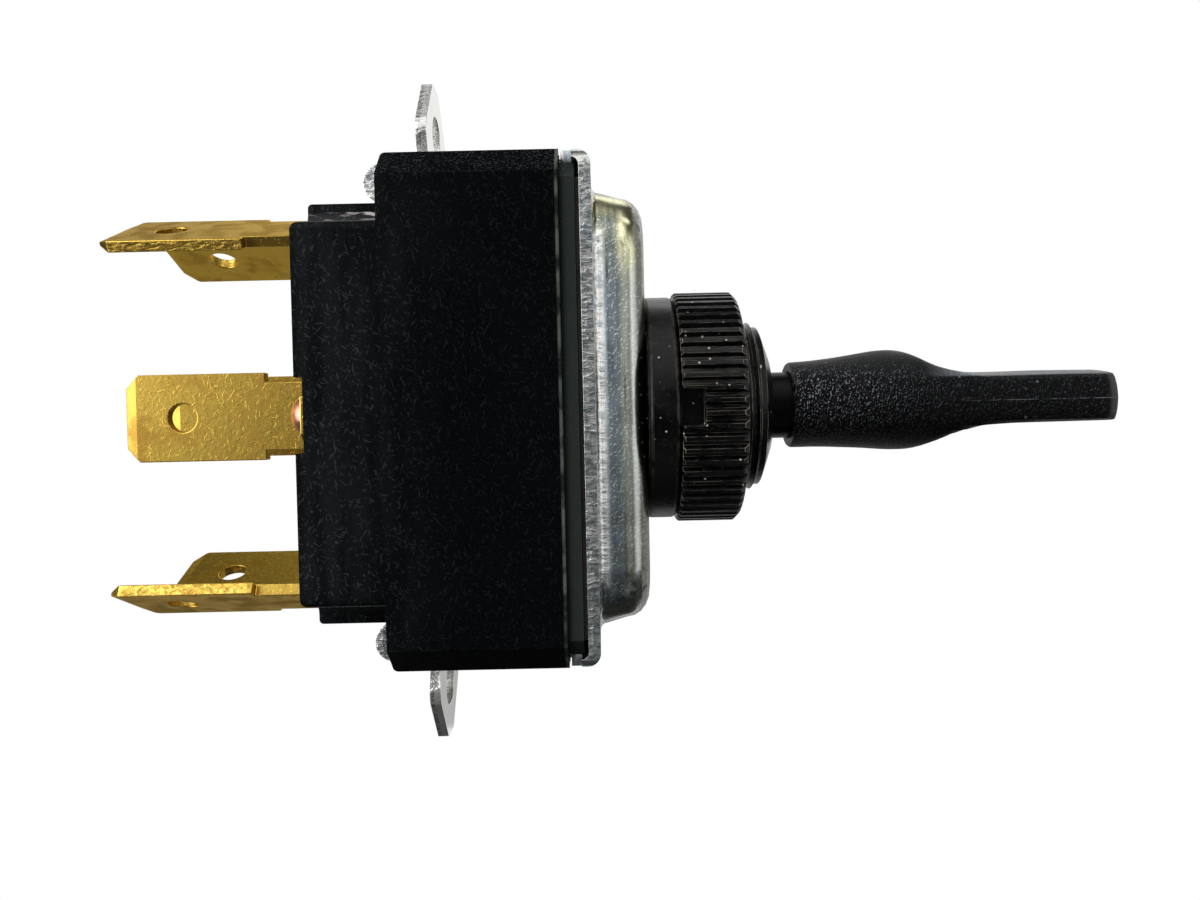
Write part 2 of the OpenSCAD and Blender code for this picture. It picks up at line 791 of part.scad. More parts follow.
// Duckbill handle: turned to its plan, cut to its side view and crowned on both broad faces
module handle() {
    plan = smooth_rows(handle_plan());
    wide = paddle_w + 2 * past;
    crown_deg = 5;
    color(MOULDED) difference() {
        intersection() {
            translate([handle_x, 0, 0]) along_x() rotate_extrude() polygon(concat(
                [[0, 0]],
                [for (q = plan) [q[1], q[0] * handle_len]],
                [[0, handle_len]]
            ));
            from_side(wide) handle_outline(smooth_rows(handle_side()));
            rotate([crown_deg, 0, 0]) from_side(2 * wide) crown_outline();
            rotate([-crown_deg, 0, 0]) from_side(2 * wide) crown_outline();
        }
        translate([handle_x - past, 0, 0])
            along_x() cylinder(h = tang_end + seat_gap - handle_x + past, d = tang_d + 2 * tang_gap);
    }
}

// Moulded carrier on the lever's inner end, with a socket for each plunger
module actuator() {
    color(FIBRE) difference() {
        from_front(actuator_back, actuator_front)
            polygon(rounded([
                for (s = [[1, 1], [-1, 1], [-1, -1], [1, -1]]) [s.x * actuator_y, s.y * actuator_h / 2, 1]
            ]));
        translate([stem_end, 0, 0]) along_x() cylinder(h = stem_hold + past, d = stem_d);
        for (y = [-pole_y, pole_y])
            translate([actuator_back - past, y, 0])
                along_x() cylinder(h = socket_depth + past, d = plunger_d + 2 * run_gap);
    }
}

// Round-ended plunger that presses on a rocker
module plunger(side) {
    r = plunger_d / 2;
    color(FIBRE) translate([0, side * pole_y, 0]) {
        translate([tip_x + r, 0, 0]) sphere(r);
        translate([tip_x + r, 0, 0]) along_x() cylinder(h = plunger_end - tip_x - r, r = r);
    }
}

// Coil spring between a plunger and the end of its socket
module plunger_spring(side) {
    sides = 6;
    per_turn = 12;
    wire = spring_wire / 2;
    coil = plunger_d / 2 - wire - 0.1;
    x0 = plunger_end + wire + seat_gap;
    x1 = socket_end - wire - seat_gap;
    count = spring_turns * per_turn;
    points = [
        for (i = [0:count], j = [0:sides - 1])
            let (a = i * 360 / per_turn, b = j * 360 / sides, r = coil + wire * cos(b))
            [x0 + (x1 - x0) * i / count + wire * sin(b), side * pole_y + r * cos(a), r * sin(a)]
    ];
    faces = concat(
        [[for (j = [0:sides - 1]) j]],
        [[for (j = [sides - 1:-1:0]) count * sides + j]],
        [for (i = [0:count - 1], j = [0:sides - 1])
            [i * sides + j, (i + 1) * sides + j, (i + 1) * sides + (j + 1) % sides, i * sides + (j + 1) % sides]]
    );
    color(SILVER) polyhedron(points, faces, convexity = 8);
}

// Middle line of the rocker's strip, from the trough outwards: half of it, as [z, x]
function rocker_line(r) =
    let (crest = 0.56 * pole_z, turn = asin(crest / r), rise = r * (1 - cos(turn)), steps = 11)
    [
        for (i = [0:steps]) let (a = turn * i / steps) [r * sin(a), r * (1 - cos(a))],
        [crest + 0.5, rise + 0.1], [pole_z - contact_d / 2 - 0.6, 0], [rocker_half, 0]
    ];

// Side view of a rocker: a trough in the middle, crests beside it and level wings
module rocker_outline() {
    half = rocker_line(trough_r);
    last = len(half) - 1;
    whole = concat(
        [for (i = [last:-1:1]) [-half[i].x, half[i].y]],
        half
    );
    polygon(concat(
        [for (p = whole) [wing_x + p.y + rocker_t, p.x]],
        [for (i = [2 * last:-1:0]) [wing_x + whole[i].y, whole[i].x]]
    ));
}

// Strip of one rocker, grooved where it sits on its ridge
module rocker(side) {
    color(BRASS) translate([0, side * pole_y, 0]) from_side(rocker_w) difference() {
        rocker_outline();
        translate([ridge_x, 0]) circle(ridge_r + seat_gap);
    }
}

// Silver buttons under the wings of one rocker
module moving_contacts(side) {
    color(SILVER) for (z = [-pole_z, pole_z])
        translate([wing_x - moving_h, side * pole_y, z]) along_x() cylinder(h = moving_h, d = contact_d);
}

// Bracket riveted to the floor, with the ridge that a rocker tips on
module fulcrum(side) {
    inner = pole_y - rocker_w / 2;
    outer = middle_rivet_y + rivet_head_d / 2;
    ridge_w = rocker_w - 0.2;
    half = 1.9;
    color(BRASS) mirror([0, side == near ? 1 : 0, 0]) difference() {
        union() {
            translate([floor_x, inner, -half]) cube([fulcrum_t, outer - inner, 2 * half]);
            translate([0, pole_y, 0]) from_side(ridge_w) {
                polygon([[floor_x, -0.9], [ridge_x, -ridge_r], [ridge_x, ridge_r], [floor_x, 0.9]]);
                translate([ridge_x, 0]) circle(ridge_r);
            }
        }
        translate([floor_x - past, middle_rivet_y, 0])
            along_x() cylinder(h = fulcrum_t + 2 * past, d = rivet_d + 2 * seat_gap);
    }
}

// Silver buttons on the inner ends of the end terminals' rivets
module fixed_contacts() {
    color(SILVER) for (t = TERMINALS)
        if (!is_middle(t)) at_rivet(t) translate([floor_x, 0, 0]) along_x() cylinder(h = fixed_h, d = contact_d);
}

// Each terminal as [side, level]
TERMINALS = [for (side = [near, far], level = [1, 0, -1]) [side, level]];

function is_middle(t) = t[1] == 0;

// Turn about X that points the foot outwards at the middle and inwards at the ends
function terminal_turn(t) =
    is_middle(t)
        ? (t[0] == near ? 0 : 180)
        : t[1] * (90 - t[0] * blade_tilt);

// Distance from a terminal's blade to its rivet
function reach_of(t) = is_middle(t) ? middle_rivet_y - middle_blade_y : end_reach;

module at_terminal(t) {
    y = is_middle(t) ? middle_blade_y : end_blade_y;
    translate([0, t[0] * y, t[1] * blade_z]) rotate([terminal_turn(t), 0, 0]) children();
}

module at_rivet(t) {
    at_terminal(t) translate([0, -reach_of(t), 0]) children();
}

// Outline of the blade and its neck, seen on the flat
module blade_outline() {
    tip = rear_x - neck_len - blade_len;
    w = blade_w / 2;
    n = foot_w / 2;
    shoulder = rear_x - neck_len;
    root = foot_x - blade_t - foot_bend_r;
    polygon([
        [root, n], [shoulder, n], [shoulder, w], [tip + tip_chamfer, w], [tip, w - tip_chamfer],
        [tip, tip_chamfer - w], [tip + tip_chamfer, -w], [shoulder, -w], [shoulder, -n], [root, -n]
    ]);
}

// Blade terminal in its own frame: the blade in the XZ plane, the foot towards -Y
module terminal(reach) {
    tip = rear_x - neck_len - blade_len;
    half = blade_t / 2;
    thin = half * 0.35;
    bend_x = foot_x - blade_t - foot_bend_r;
    foot_len = reach + foot_margin;
    w = foot_w / 2;
    color(BRASS) difference() {
        union() {
            intersection() {
                from_side(blade_t) blade_outline();
                linear_extrude(2 * blade_w, center = true) polygon([
                    [tip, thin], [tip + tip_bevel, half], [foot_x, half],
                    [foot_x, -half], [tip + tip_bevel, -half], [tip, -thin]
                ]);
            }
            linear_extrude(foot_w, center = true)
                translate([bend_x, -half - foot_bend_r]) intersection() {
                    difference() {
                        circle(foot_bend_r + blade_t);
                        circle(foot_bend_r);
                    }
                    square(2 * (foot_bend_r + blade_t));
                }
            from_front(foot_x - blade_t, foot_x) polygon([
                [-half - foot_bend_r, w], [foot_cut - foot_len, w], [-foot_len, w - foot_cut],
                [-foot_len, foot_cut - w], [foot_cut - foot_len, -w], [-half - foot_bend_r, -w]
            ]);
        }
        translate([tip + blade_hole_in, 0, 0]) rotate([90, 0, 0])
            cylinder(h = 4 * blade_t, d = blade_hole_d, center = true);
        translate([foot_x - blade_t - past, -reach, 0])
            along_x() cylinder(h = blade_t + 2 * past, d = rivet_d + 2 * seat_gap);
    }
}

module placed_terminal(t) {
    at_terminal(t) terminal(reach_of(t));
}

// Copper rivets: a domed head on each foot, the shank through the floor
module terminal_rivets() {
    head_x = foot_x - blade_t;
    dome_r = (pow(rivet_head_d / 2, 2) + pow(rivet_head_h, 2)) / (2 * rivet_head_h);
    color(COPPER) for (t = TERMINALS) at_rivet(t) {
        end = is_middle(t) ? floor_x + fulcrum_t : floor_x;
        intersection() {
            translate([head_x - rivet_head_h + dome_r, 0, 0]) sphere(dome_r);
            translate([head_x - rivet_head_h, 0, 0]) along_x() cylinder(h = rivet_head_h, d = rivet_head_d + past);
        }
        translate([head_x, 0, 0]) along_x() cylinder(h = end - head_x, d = rivet_d);
        if (is_middle(t)) translate([end, 0, 0]) along_x() cylinder(h = 0.5, d = rivet_head_d);
    }
}

housing();
cover();
insulator();
bushing();
back_ring();
knurled_nut();
lever_stem();
handle();
pivot_pin();
actuator();
plunger(near);  // near_plunger
plunger(far);  // far_plunger
plunger_spring(near);  // near_plunger_spring
plunger_spring(far);  // far_plunger_spring
rocker(near);  // near_rocker
rocker(far);  // far_rocker
moving_contacts(near);  // near_moving_contacts
moving_contacts(far);  // far_moving_contacts
fulcrum(near);  // near_fulcrum
fulcrum(far);  // far_fulcrum
fixed_contacts();
terminal_rivets();
placed_terminal([near, 1]);  // upper_near_terminal
placed_terminal([near, 0]);  // middle_near_terminal
placed_terminal([near, -1]);  // lower_near_terminal
placed_terminal([far, 1]);  // upper_far_terminal
placed_terminal([far, 0]);  // middle_far_terminal
placed_terminal([far, -1]);  // lower_far_terminal
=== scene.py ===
"""Looks of the window switch: edge-broken solids, a lofted handle, procedural finishes, light and camera."""

import json
import math

import bmesh
import bpy
from bpy.props import FloatProperty, FloatVectorProperty, IntProperty, PointerProperty
from mathutils import Color, Matrix, Vector


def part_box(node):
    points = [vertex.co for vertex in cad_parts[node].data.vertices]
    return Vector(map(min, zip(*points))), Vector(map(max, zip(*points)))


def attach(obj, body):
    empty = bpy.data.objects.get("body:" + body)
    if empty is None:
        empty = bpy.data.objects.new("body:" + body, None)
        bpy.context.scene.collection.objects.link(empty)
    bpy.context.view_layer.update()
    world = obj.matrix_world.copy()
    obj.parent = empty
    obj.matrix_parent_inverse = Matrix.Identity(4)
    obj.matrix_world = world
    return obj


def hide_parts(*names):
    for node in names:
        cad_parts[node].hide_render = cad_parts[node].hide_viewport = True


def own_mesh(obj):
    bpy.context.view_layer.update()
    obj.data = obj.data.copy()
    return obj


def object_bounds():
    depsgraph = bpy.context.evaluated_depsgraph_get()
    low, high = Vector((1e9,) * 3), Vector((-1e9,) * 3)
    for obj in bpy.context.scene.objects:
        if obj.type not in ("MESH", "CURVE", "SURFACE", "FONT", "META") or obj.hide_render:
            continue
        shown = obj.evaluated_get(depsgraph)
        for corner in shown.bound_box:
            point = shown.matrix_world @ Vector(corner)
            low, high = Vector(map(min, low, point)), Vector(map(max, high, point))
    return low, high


bl_info = {
    "name": "Window Switch",
    "version": (1, 0, 0),
    "blender": (4, 5, 0),
    "location": "View3D > Sidebar > Switch",
    "description": "Finishes and stages a panel-mounted toggle switch",
    "category": "Object",
}

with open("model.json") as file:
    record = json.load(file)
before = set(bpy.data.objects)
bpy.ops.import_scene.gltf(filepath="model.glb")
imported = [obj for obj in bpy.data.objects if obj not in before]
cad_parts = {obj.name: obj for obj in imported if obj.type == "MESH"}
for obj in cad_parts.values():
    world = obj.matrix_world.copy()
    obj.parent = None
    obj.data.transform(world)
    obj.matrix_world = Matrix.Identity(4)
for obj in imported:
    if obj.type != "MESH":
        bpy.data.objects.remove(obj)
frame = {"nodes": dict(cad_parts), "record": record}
CAD_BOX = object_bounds()
MM = 0.001
SIDES = ("near", "far")
LEVELS = ("upper", "middle", "lower")
TERMINALS = [f"{level}_{side}_terminal" for side in SIDES for level in LEVELS]
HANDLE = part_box("handle")
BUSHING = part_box("bushing")
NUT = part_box("knurled_nut")


def colour(name, description, default):
    """A colour property with its default."""
    return FloatVectorProperty(
        name=name, description=description, subtype="COLOR", size=3, min=0, max=1, default=default
    )


def length(name, description, default):
    """A length property in metres, from millimetres."""
    return FloatProperty(
        name=name, description=description, default=default * MM, min=0, unit="LENGTH", subtype="DISTANCE"
    )


def angle(name, description, default):
    """An angle property, from degrees."""
    return FloatProperty(name=name, description=description, default=math.radians(default), subtype="ANGLE")


class SwitchColours(bpy.types.PropertyGroup):
    """Colours of the finishes"""

    moulding: colour("Moulding", "Black moulded body", (0.0012, 0.0015, 0.0018))
    # Painted sheen: the paler left end of the body
    moulding_sheen: colour("Moulding, pale", "Rubbed end of the body", (0.0052, 0.0062, 0.007))
    moulding_rim: colour("Moulding, rim", "Rubbed rim under the cover", (0.015, 0.019, 0.017))
    moulding_scuff: colour("Scuffs", "Fine scuffs on the body", (0.09, 0.1, 0.1))
    moulding_line: colour("Rubbed line", "Worn edge before the rim", (0.055, 0.062, 0.052))
    # Painted highlight: a pale broken line along the glossy fillet
    moulding_highlight: colour("Streak", "Pale broken streak along the fillet", (0.4, 0.36, 0.36))
    collar: colour("Collar", "Bushing, ring and nut", (0.0012, 0.0012, 0.0013))
    # Worn edges and specks, and painted highlights along the nut's ridges
    collar_wear_and_highlight: colour("Collar wear", "Worn edges and specks of the collar", (0.36, 0.32, 0.26))
    handle: colour("Handle", "Grained handle", (0.0013, 0.0015, 0.0018))
    # Painted sheen: the greyish upper side of the handle
    handle_top_sheen: colour("Handle dust", "Greyish upper side of the handle", (0.016, 0.0165, 0.017))
    # Pale specks and seam, with the painted lit sides of wrinkles and the painted highlight on the paddle's
    # upper edge
    handle_speck_and_highlight: colour("Handle specks", "Pale wrinkles of the grain", (0.13, 0.138, 0.148))
    # Painted highlight: a brownish lighter band where the tip begins to round
    handle_tip_highlight: colour("Handle rub", "Brownish rubbed band at the tip", (0.035, 0.031, 0.027))
    stem: colour("Stem", "Gloss black neck", (0.0022, 0.0022, 0.0022))
    zinc: colour("Zinc", "Plated sheet", (0.57, 0.64, 0.68))
    # Real yellowish patches, and painted highlights towards the dome's top and at its corner
    zinc_warm: colour("Zinc, warm", "Yellow tint of the plating", (0.86, 0.83, 0.5))
    zinc_dark: colour("Zinc, dark", "Stain on the plating", (0.17, 0.22, 0.25))
    # Painted reflection: dark bluish band along the dome's wall
    zinc_dark_reflection: colour("Zinc, deep", "Dark band along the dome", (0.045, 0.07, 0.085))
    # Painted shade on the dome's rounded front edge
    zinc_edge_shade: colour("Zinc, edge", "Dull front edge of the dome", (0.21, 0.205, 0.165))
    # Also paints the lit sides of squiggles and the bright reflection on the dome's fillet
    zinc_bright: colour("Zinc, bright", "Rubbed edges of the sheet", (0.93, 0.93, 0.9))
    brass: colour("Brass", "Terminals", (0.48, 0.322, 0.06))
    brass_dark: colour("Brass, dark", "Tarnish on the terminals", (0.32, 0.17, 0.03))
    brass_bright: colour("Brass, bright", "Cut edges and scratches", (0.86, 0.55, 0.11))
    copper: colour("Copper", "Rivets", (0.78, 0.38, 0.26))
    silver: colour("Silver", "Contacts and springs", (0.7, 0.7, 0.68))
    fibre: colour("Fibre", "Carrier and plungers", (0.13, 0.075, 0.045))
    sheet: colour("Sheet", "Insulating sheet", (0.012, 0.011, 0.01))
    ground: colour("Ground", "Floor and backdrop", (0.9, 0.9, 0.9))


class SwitchSizes(bpy.types.PropertyGroup):
    """Sizes of the added detail"""

    mould_edge: length("Moulded edge", "Rounding of the moulded edges", 0.2)
    sheet_edge: length("Sheet edge", "Rounding of the cover's burnished edges", 0.3)
    blade_edge: length("Blade edge", "Rounding of the blades", 0.07)
    ridge_edge: length("Ridge edge", "Rounding of the nut's ridges", 0.07)
    ring_edge: length("Ring edge", "Rounding of the back ring", 0.12)
    bushing_edge: length("Bushing edge", "Rounding of the bushing's front end", 0.08)
    stem_edge: length("Stem edge", "Rounding of the lever's neck", 0.04)
    thread_pitch: length("Thread pitch", "Distance between thread crests", 0.8)
    thread_depth: length("Thread depth", "Depth of the thread's grooves", 0.3)
    seam: length("Seam", "Height of the handle's parting line", 0.03)
    handle_crown: angle("Crown", "Slope of the paddle's upper face", 8.5)
    handle_rings: IntProperty(name="Handle rings", description="Sections of the handle", default=70, min=20)
    camera_roll: angle("Roll", "Roll of the camera", 1.25)
    camera_pitch: angle("Pitch", "Downward tilt of the camera", 1.2)
    camera_shift: FloatProperty(name="Shift", description="Vertical shift of the lens", default=-0.0183)
    camera_lens: FloatProperty(
        name="Lens", description="Focal length of the camera", default=27.2 * MM, unit="CAMERA"
    )


def settings():
    """Colours and sizes of the open scene."""
    scene = bpy.context.scene
    return scene.switch_colours, scene.switch_sizes


def deselect():
    """Leaves edit mode with nothing selected."""
    if bpy.context.object and bpy.context.object.mode != "OBJECT":
        bpy.ops.object.mode_set(mode="OBJECT")
    bpy.ops.object.select_all(action="DESELECT")


def pick(piece):
    """Makes one object the active and only selected one."""
    deselect()
    piece.select_set(True)
    bpy.context.view_layer.objects.active = piece


def add_modifier(piece, kind, **values):
    """Adds a modifier with its values and applies it."""
    pick(piece)
    modifier = piece.modifiers.new(kind.title(), kind)
    for key, value in values.items():
        setattr(modifier, key, value)
    bpy.ops.object.modifier_apply(modifier=modifier.name)


def solid_copy(node):
    """A copy of a solid with its triangles joined into faces."""
    pick(frame["nodes"][node])
    bpy.ops.object.duplicate()
    piece = bpy.context.object
    piece.name = f"{node}_skin"
    piece.data.name = piece.name
    for key in [k for k in piece.keys() if k.startswith("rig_")]:
        del piece[key]
    piece.parent = None
    bpy.ops.object.mode_set(mode="EDIT")
    bpy.ops.mesh.select_all(action="SELECT")
    bpy.ops.mesh.remove_doubles(threshold=0.002 * MM)
    bpy.ops.mesh.dissolve_limited(angle_limit=math.radians(0.5))
    bpy.ops.object.mode_set(mode="OBJECT")
    return piece


def mark_faces(piece, name, test):
    """Stores the result of a test on every face."""
    mesh = piece.data
    values = mesh.attributes.get(name) or mesh.attributes.new(name, "FLOAT", "FACE")
    for face in mesh.polygons:
        values.data[face.index].value = float(test(face))


def break_edges(piece, edge, segments=2, sharp=30, wear=1.0, weigh=None):
    """Rounds the sharp edges by their weights and marks the faces that this makes with their wear."""
    mesh = piece.data
    weights = mesh.attributes.new("bevel_weight_edge", "FLOAT", "EDGE")
    solid = bmesh.new()
    solid.from_mesh(mesh)
    for line in solid.edges:
        if line.calc_face_angle(0.0) > math.radians(sharp):
            middle = (line.verts[0].co + line.verts[1].co) / 2
            weights.data[line.index].value = weigh(middle) if weigh else 1.0
    solid.free()
    mesh.materials.clear()
    mesh.materials.append(None)
    mesh.materials.append(None)
    add_modifier(
        piece,
        "BEVEL",
        width=edge,
        segments=segments,
        limit_method="WEIGHT",
        use_clamp_overlap=True,
        material=1,
    )
    mark_faces(piece, "edge", lambda face: wear * (face.material_index == 1))
    for face in mesh.polygons:
        face.material_index = 0


def finish_mesh(piece, smooth=40):
    """Smooth shading over gentle angles, led by the large faces."""
    pick(piece)
    bpy.ops.object.shade_smooth_by_angle(angle=math.radians(smooth))
    add_modifier(piece, "WEIGHTED_NORMAL", keep_sharp=True)


def place_on_body(piece, node, material):
    """Gives a finished piece its material and body, and hides the node that it stands in for."""
    record = frame["record"]
    paint(piece, material)
    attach(piece, next(b for b, nodes in record["behaviour"]["bodies"].items() if node in nodes))
    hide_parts(node)


def dress(node, material, edge, shape=None, smooth=40, **edges):
    """Replaces a solid by its copy, shaped further where a function is given, with its edges broken."""
    piece = solid_copy(node)
    if shape:
        shape(piece)
    break_edges(piece, edge, **edges)
    finish_mesh(piece, smooth)
    place_on_body(piece, node, material)
    return piece


def paint(piece, material):
    """Gives a piece its only material."""
    piece.data.materials.clear()
    piece.data.materials.append(material)


class Graph:
    """Short calls for the nodes of one tree."""

    def __init__(self, tree):
        self.tree = tree

    def fill(self, socket, value):
        """Links or sets one input."""
        if isinstance(value, bpy.types.NodeSocket):
            self.tree.links.new(value, socket)
        else:
            socket.default_value = value

    def node(self, kind, options=None, **values):
        """A node with its options, and values or links for its inputs."""
        node = self.tree.nodes.new(f"ShaderNode{kind}")
        for key, value in (options or {}).items():
            setattr(node, key, value)
        for key, value in values.items():
            self.fill(node.inputs[key.replace("_", " ")], value)
        return node

    def math(self, operation, *values):
        """Result of an operation on one to three values."""
        node = self.node("Math", {"operation": operation})
        for socket, value in zip(node.inputs, values):
            self.fill(socket, value)
        return node.outputs[0]

    def times(self, first, *others):
        """Product of values."""
        for value in others:
            first = self.math("MULTIPLY", first, value)
        return first

    def most(self, first, *others):
        """Largest of values."""
        for value in others:
            first = self.math("MAXIMUM", first, value)
        return first

    def span(self, value, low, high, to_low=0.0, to_high=1.0):
        """A value taken smoothly from one range to another."""
        node = self.node("MapRange", {"interpolation_type": "SMOOTHSTEP"}, Value=value)
        for socket, number in zip(list(node.inputs)[1:5], (low, high, to_low, to_high)):
            self.fill(socket, number)
        return node.outputs[0]

    def window(self, value, start, full, fade, end):
        """1 between two values, with soft ends."""
        return self.times(self.span(value, start, full), self.span(value, fade, end, 1.0, 0.0))

    def noise(self, vector, scale, detail=2.0, distortion=0.0):
        """Noise between 0 and 1."""
        node = self.node("TexNoise", Vector=vector, Scale=scale, Detail=detail, Distortion=distortion)
        return node.outputs["Fac"]

    def stretch(self, vector, scale, turn=(0.0, 0.0, 0.0)):
        """A vector on turned axes, for a pattern that is longer along each by its scale."""
        node = self.node("Mapping", {"vector_type": "TEXTURE"}, Vector=vector, Scale=scale, Rotation=turn)
        return node.outputs[0]

    def blend(self, factor, low, high):
        """Mix of two colours."""
        node = self.node("Mix", {"data_type": "RGBA"})
        for socket, value in zip((node.inputs[0], node.inputs[6], node.inputs[7]), (factor, low, high)):
            self.fill(socket, (*value, 1) if isinstance(value, (Color, tuple)) else value)
        return node.outputs[2]

    def coats(self, base, *layers):
        """A colour under layers of a mask and a colour each, the last on top."""
        for mask, tone in layers:
            base = self.blend(mask, base, tone)
        return base

    def axis(self, vector, name):
        """One coordinate of a vector."""
        return self.node("SeparateXYZ", Vector=vector).outputs[name]

    def attribute(self, name):
        """A value stored on the faces."""
        return self.node("Attribute", {"attribute_name": name}).outputs["Fac"]


class Effect(Graph):
    """A node group with named inputs, shared by several finishes."""

    def __init__(self, name, **inputs):
        super().__init__(bpy.data.node_groups.new(name, "ShaderNodeTree"))
        face = self.tree.interface
        face.new_socket("Vector", in_out="INPUT", socket_type="NodeSocketVector")
        for key, default in inputs.items():
            face.new_socket(key, in_out="INPUT", socket_type="NodeSocketFloat").default_value = default
        self.inside = self.tree.nodes.new("NodeGroupInput").outputs[: len(inputs) + 1]
        self.end = self.tree.nodes.new("NodeGroupOutput")

    def over(self, value, amount, below, above):
        """1 where a noise is over 1 minus an amount, soft from a little below to a little above it."""
        rest = self.math("SUBTRACT", 1.0, amount)
        return self.span(value, self.math("SUBTRACT", rest, below), self.math("ADD", rest, above))

    def give(self, name, value):
        """Adds an output."""
        self.tree.interface.new_socket(name, in_out="OUTPUT", socket_type="NodeSocketFloat")
        self.tree.links.new(value, self.end.inputs[name])


class Finish(Graph):
    """A material with a plain shader and short calls for its nodes."""

    def __init__(self, name, **values):
        self.material = bpy.data.materials.new(name)
        self.material.use_nodes = True
        super().__init__(self.material.node_tree)
        self.shader = self.tree.nodes["Principled BSDF"]
        self.place = self.node("TexCoord").outputs["Object"]
        self.feed(**values)

    def mm(self, name):
        """One object coordinate in millimetres."""
        return self.times(self.axis(self.place, name), 1 / MM)

    def effect(self, name, output="Mask", vector=None, **values):
        """An output of a shared effect with its values."""
        node = self.tree.nodes.new("ShaderNodeGroup")
        node.node_tree = bpy.data.node_groups[name]
        self.fill(node.inputs["Vector"], vector or self.place)
        for key, value in values.items():
            self.fill(node.inputs[key], value)
        return node.outputs[output]

    def grain(self, **values):
        """Height of the shared grain."""
        return self.effect("grain", "Height", **values)

    def feed(self, **values):
        """Sets inputs of the shader or links outputs to them."""
        for key, value in values.items():
            self.fill(self.shader.inputs[key.replace("_", " ")], value)

    def bump(self, height, depth, below=None):
        """Normals of a height pattern of a depth in millimetres, on top of those below it."""
        node = self.node("Bump", Height=height, Distance=depth * MM, Strength=1.0)
        if below:
            self.fill(node.inputs["Normal"], below)
        return node.outputs[0]


def make_scuffs():
    """Thin lines that wander and break."""
    scuffs = Effect("scuffs", Scale=1400.0, Width=0.02, Amount=0.5, Break=0.8)
    place, scale, width, amount, rate = scuffs.inside
    off = scuffs.math("ABSOLUTE", scuffs.math("SUBTRACT", scuffs.noise(place, scale, 1.0, 1.4), 0.5))
    gate = scuffs.noise(place, scuffs.times(scale, rate), 1.0)
    thin = scuffs.span(off, 0.0, width, 1.0, 0.0)
    scuffs.give("Mask", scuffs.times(thin, scuffs.over(gate, amount, 0.0, 0.12)))


def make_streaks():
    """Short straight scratches in four directions."""
    streaks = Effect("streaks", Scale=3800.0, Amount=0.36)
    place, scale, amount = streaks.inside
    lines = []
    for turn in (-1.0, 0.2, 0.7, 1.35):
        drawn_out = streaks.stretch(place, (6.0, 1.0, 1.0), (0.3, turn, 0.2))
        lines.append(streaks.over(streaks.noise(drawn_out, scale, 1.0, 0.3), amount, 0.0, 0.07))
    streaks.give("Mask", streaks.most(*lines))


def make_wrinkles():
    """The lit sides of a wrinkled surface: a noise less the same noise a little aside."""
    lit_wrinkles = Effect("lit_wrinkles", Scale=5500.0, Shift=0.07 * MM)
    place, scale, shift = lit_wrinkles.inside
    aside = lit_wrinkles.node("CombineXYZ", X=lit_wrinkles.times(shift, -0.9), Z=shift).outputs[0]
    moved = lit_wrinkles.node("VectorMath", {"operation": "ADD"})
    lit_wrinkles.fill(moved.inputs[0], place)
    lit_wrinkles.fill(moved.inputs[1], aside)
    here, there = (lit_wrinkles.noise(spot, scale, 1.0, 0.8) for spot in (place, moved.outputs[0]))
    lit_wrinkles.give("Mask", lit_wrinkles.span(lit_wrinkles.math("SUBTRACT", here, there), 0.08, 0.2))


def make_specks():
    """Round dots in some of the cells of a pattern."""
    specks = Effect("specks", Scale=2500.0, Size=0.2, Amount=0.2)
    place, scale, size, amount = specks.inside
    cell = specks.node("TexVoronoi", Vector=place, Scale=scale)
    dot = specks.span(cell.outputs["Distance"], specks.times(size, 0.5), size, 1.0, 0.0)
    chosen = specks.math("LESS_THAN", specks.axis(cell.outputs["Color"], "X"), amount)
    specks.give("Mask", specks.times(dot, chosen))


def make_grain():
    """A coarse and a fine noise as one height."""
    grain = Effect("grain", Scale=4000.0, Distortion=0.6)
    place, scale, twist = grain.inside
    fine = grain.noise(place, grain.times(scale, 2.7), 2.0)
    grain.give("Height", grain.math("MULTIPLY_ADD", fine, 0.4, grain.noise(place, scale, 2.0, twist)))


def make_worn_edges():
    """Patches of wear on the rounded edges, by the wear stored on their faces."""
    worn = Effect("worn_edges", Scale=700.0, Amount=0.5)
    place, scale, amount = worn.inside
    patches = worn.over(worn.noise(place, scale, 3.0), amount, 0.1, 0.1)
    worn.give("Mask", worn.times(worn.attribute("edge"), patches))


def make_smudges():
    """Soft cloudy patches."""
    smudges = Effect("smudges", Scale=120.0, Low=0.35, High=0.65)
    place, scale, low, high = smudges.inside
    smudges.give("Mask", smudges.span(smudges.noise(place, scale, 4.0, 0.6), low, high))


EFFECTS = (make_scuffs, make_streaks, make_wrinkles, make_specks, make_grain, make_worn_edges, make_smudges)


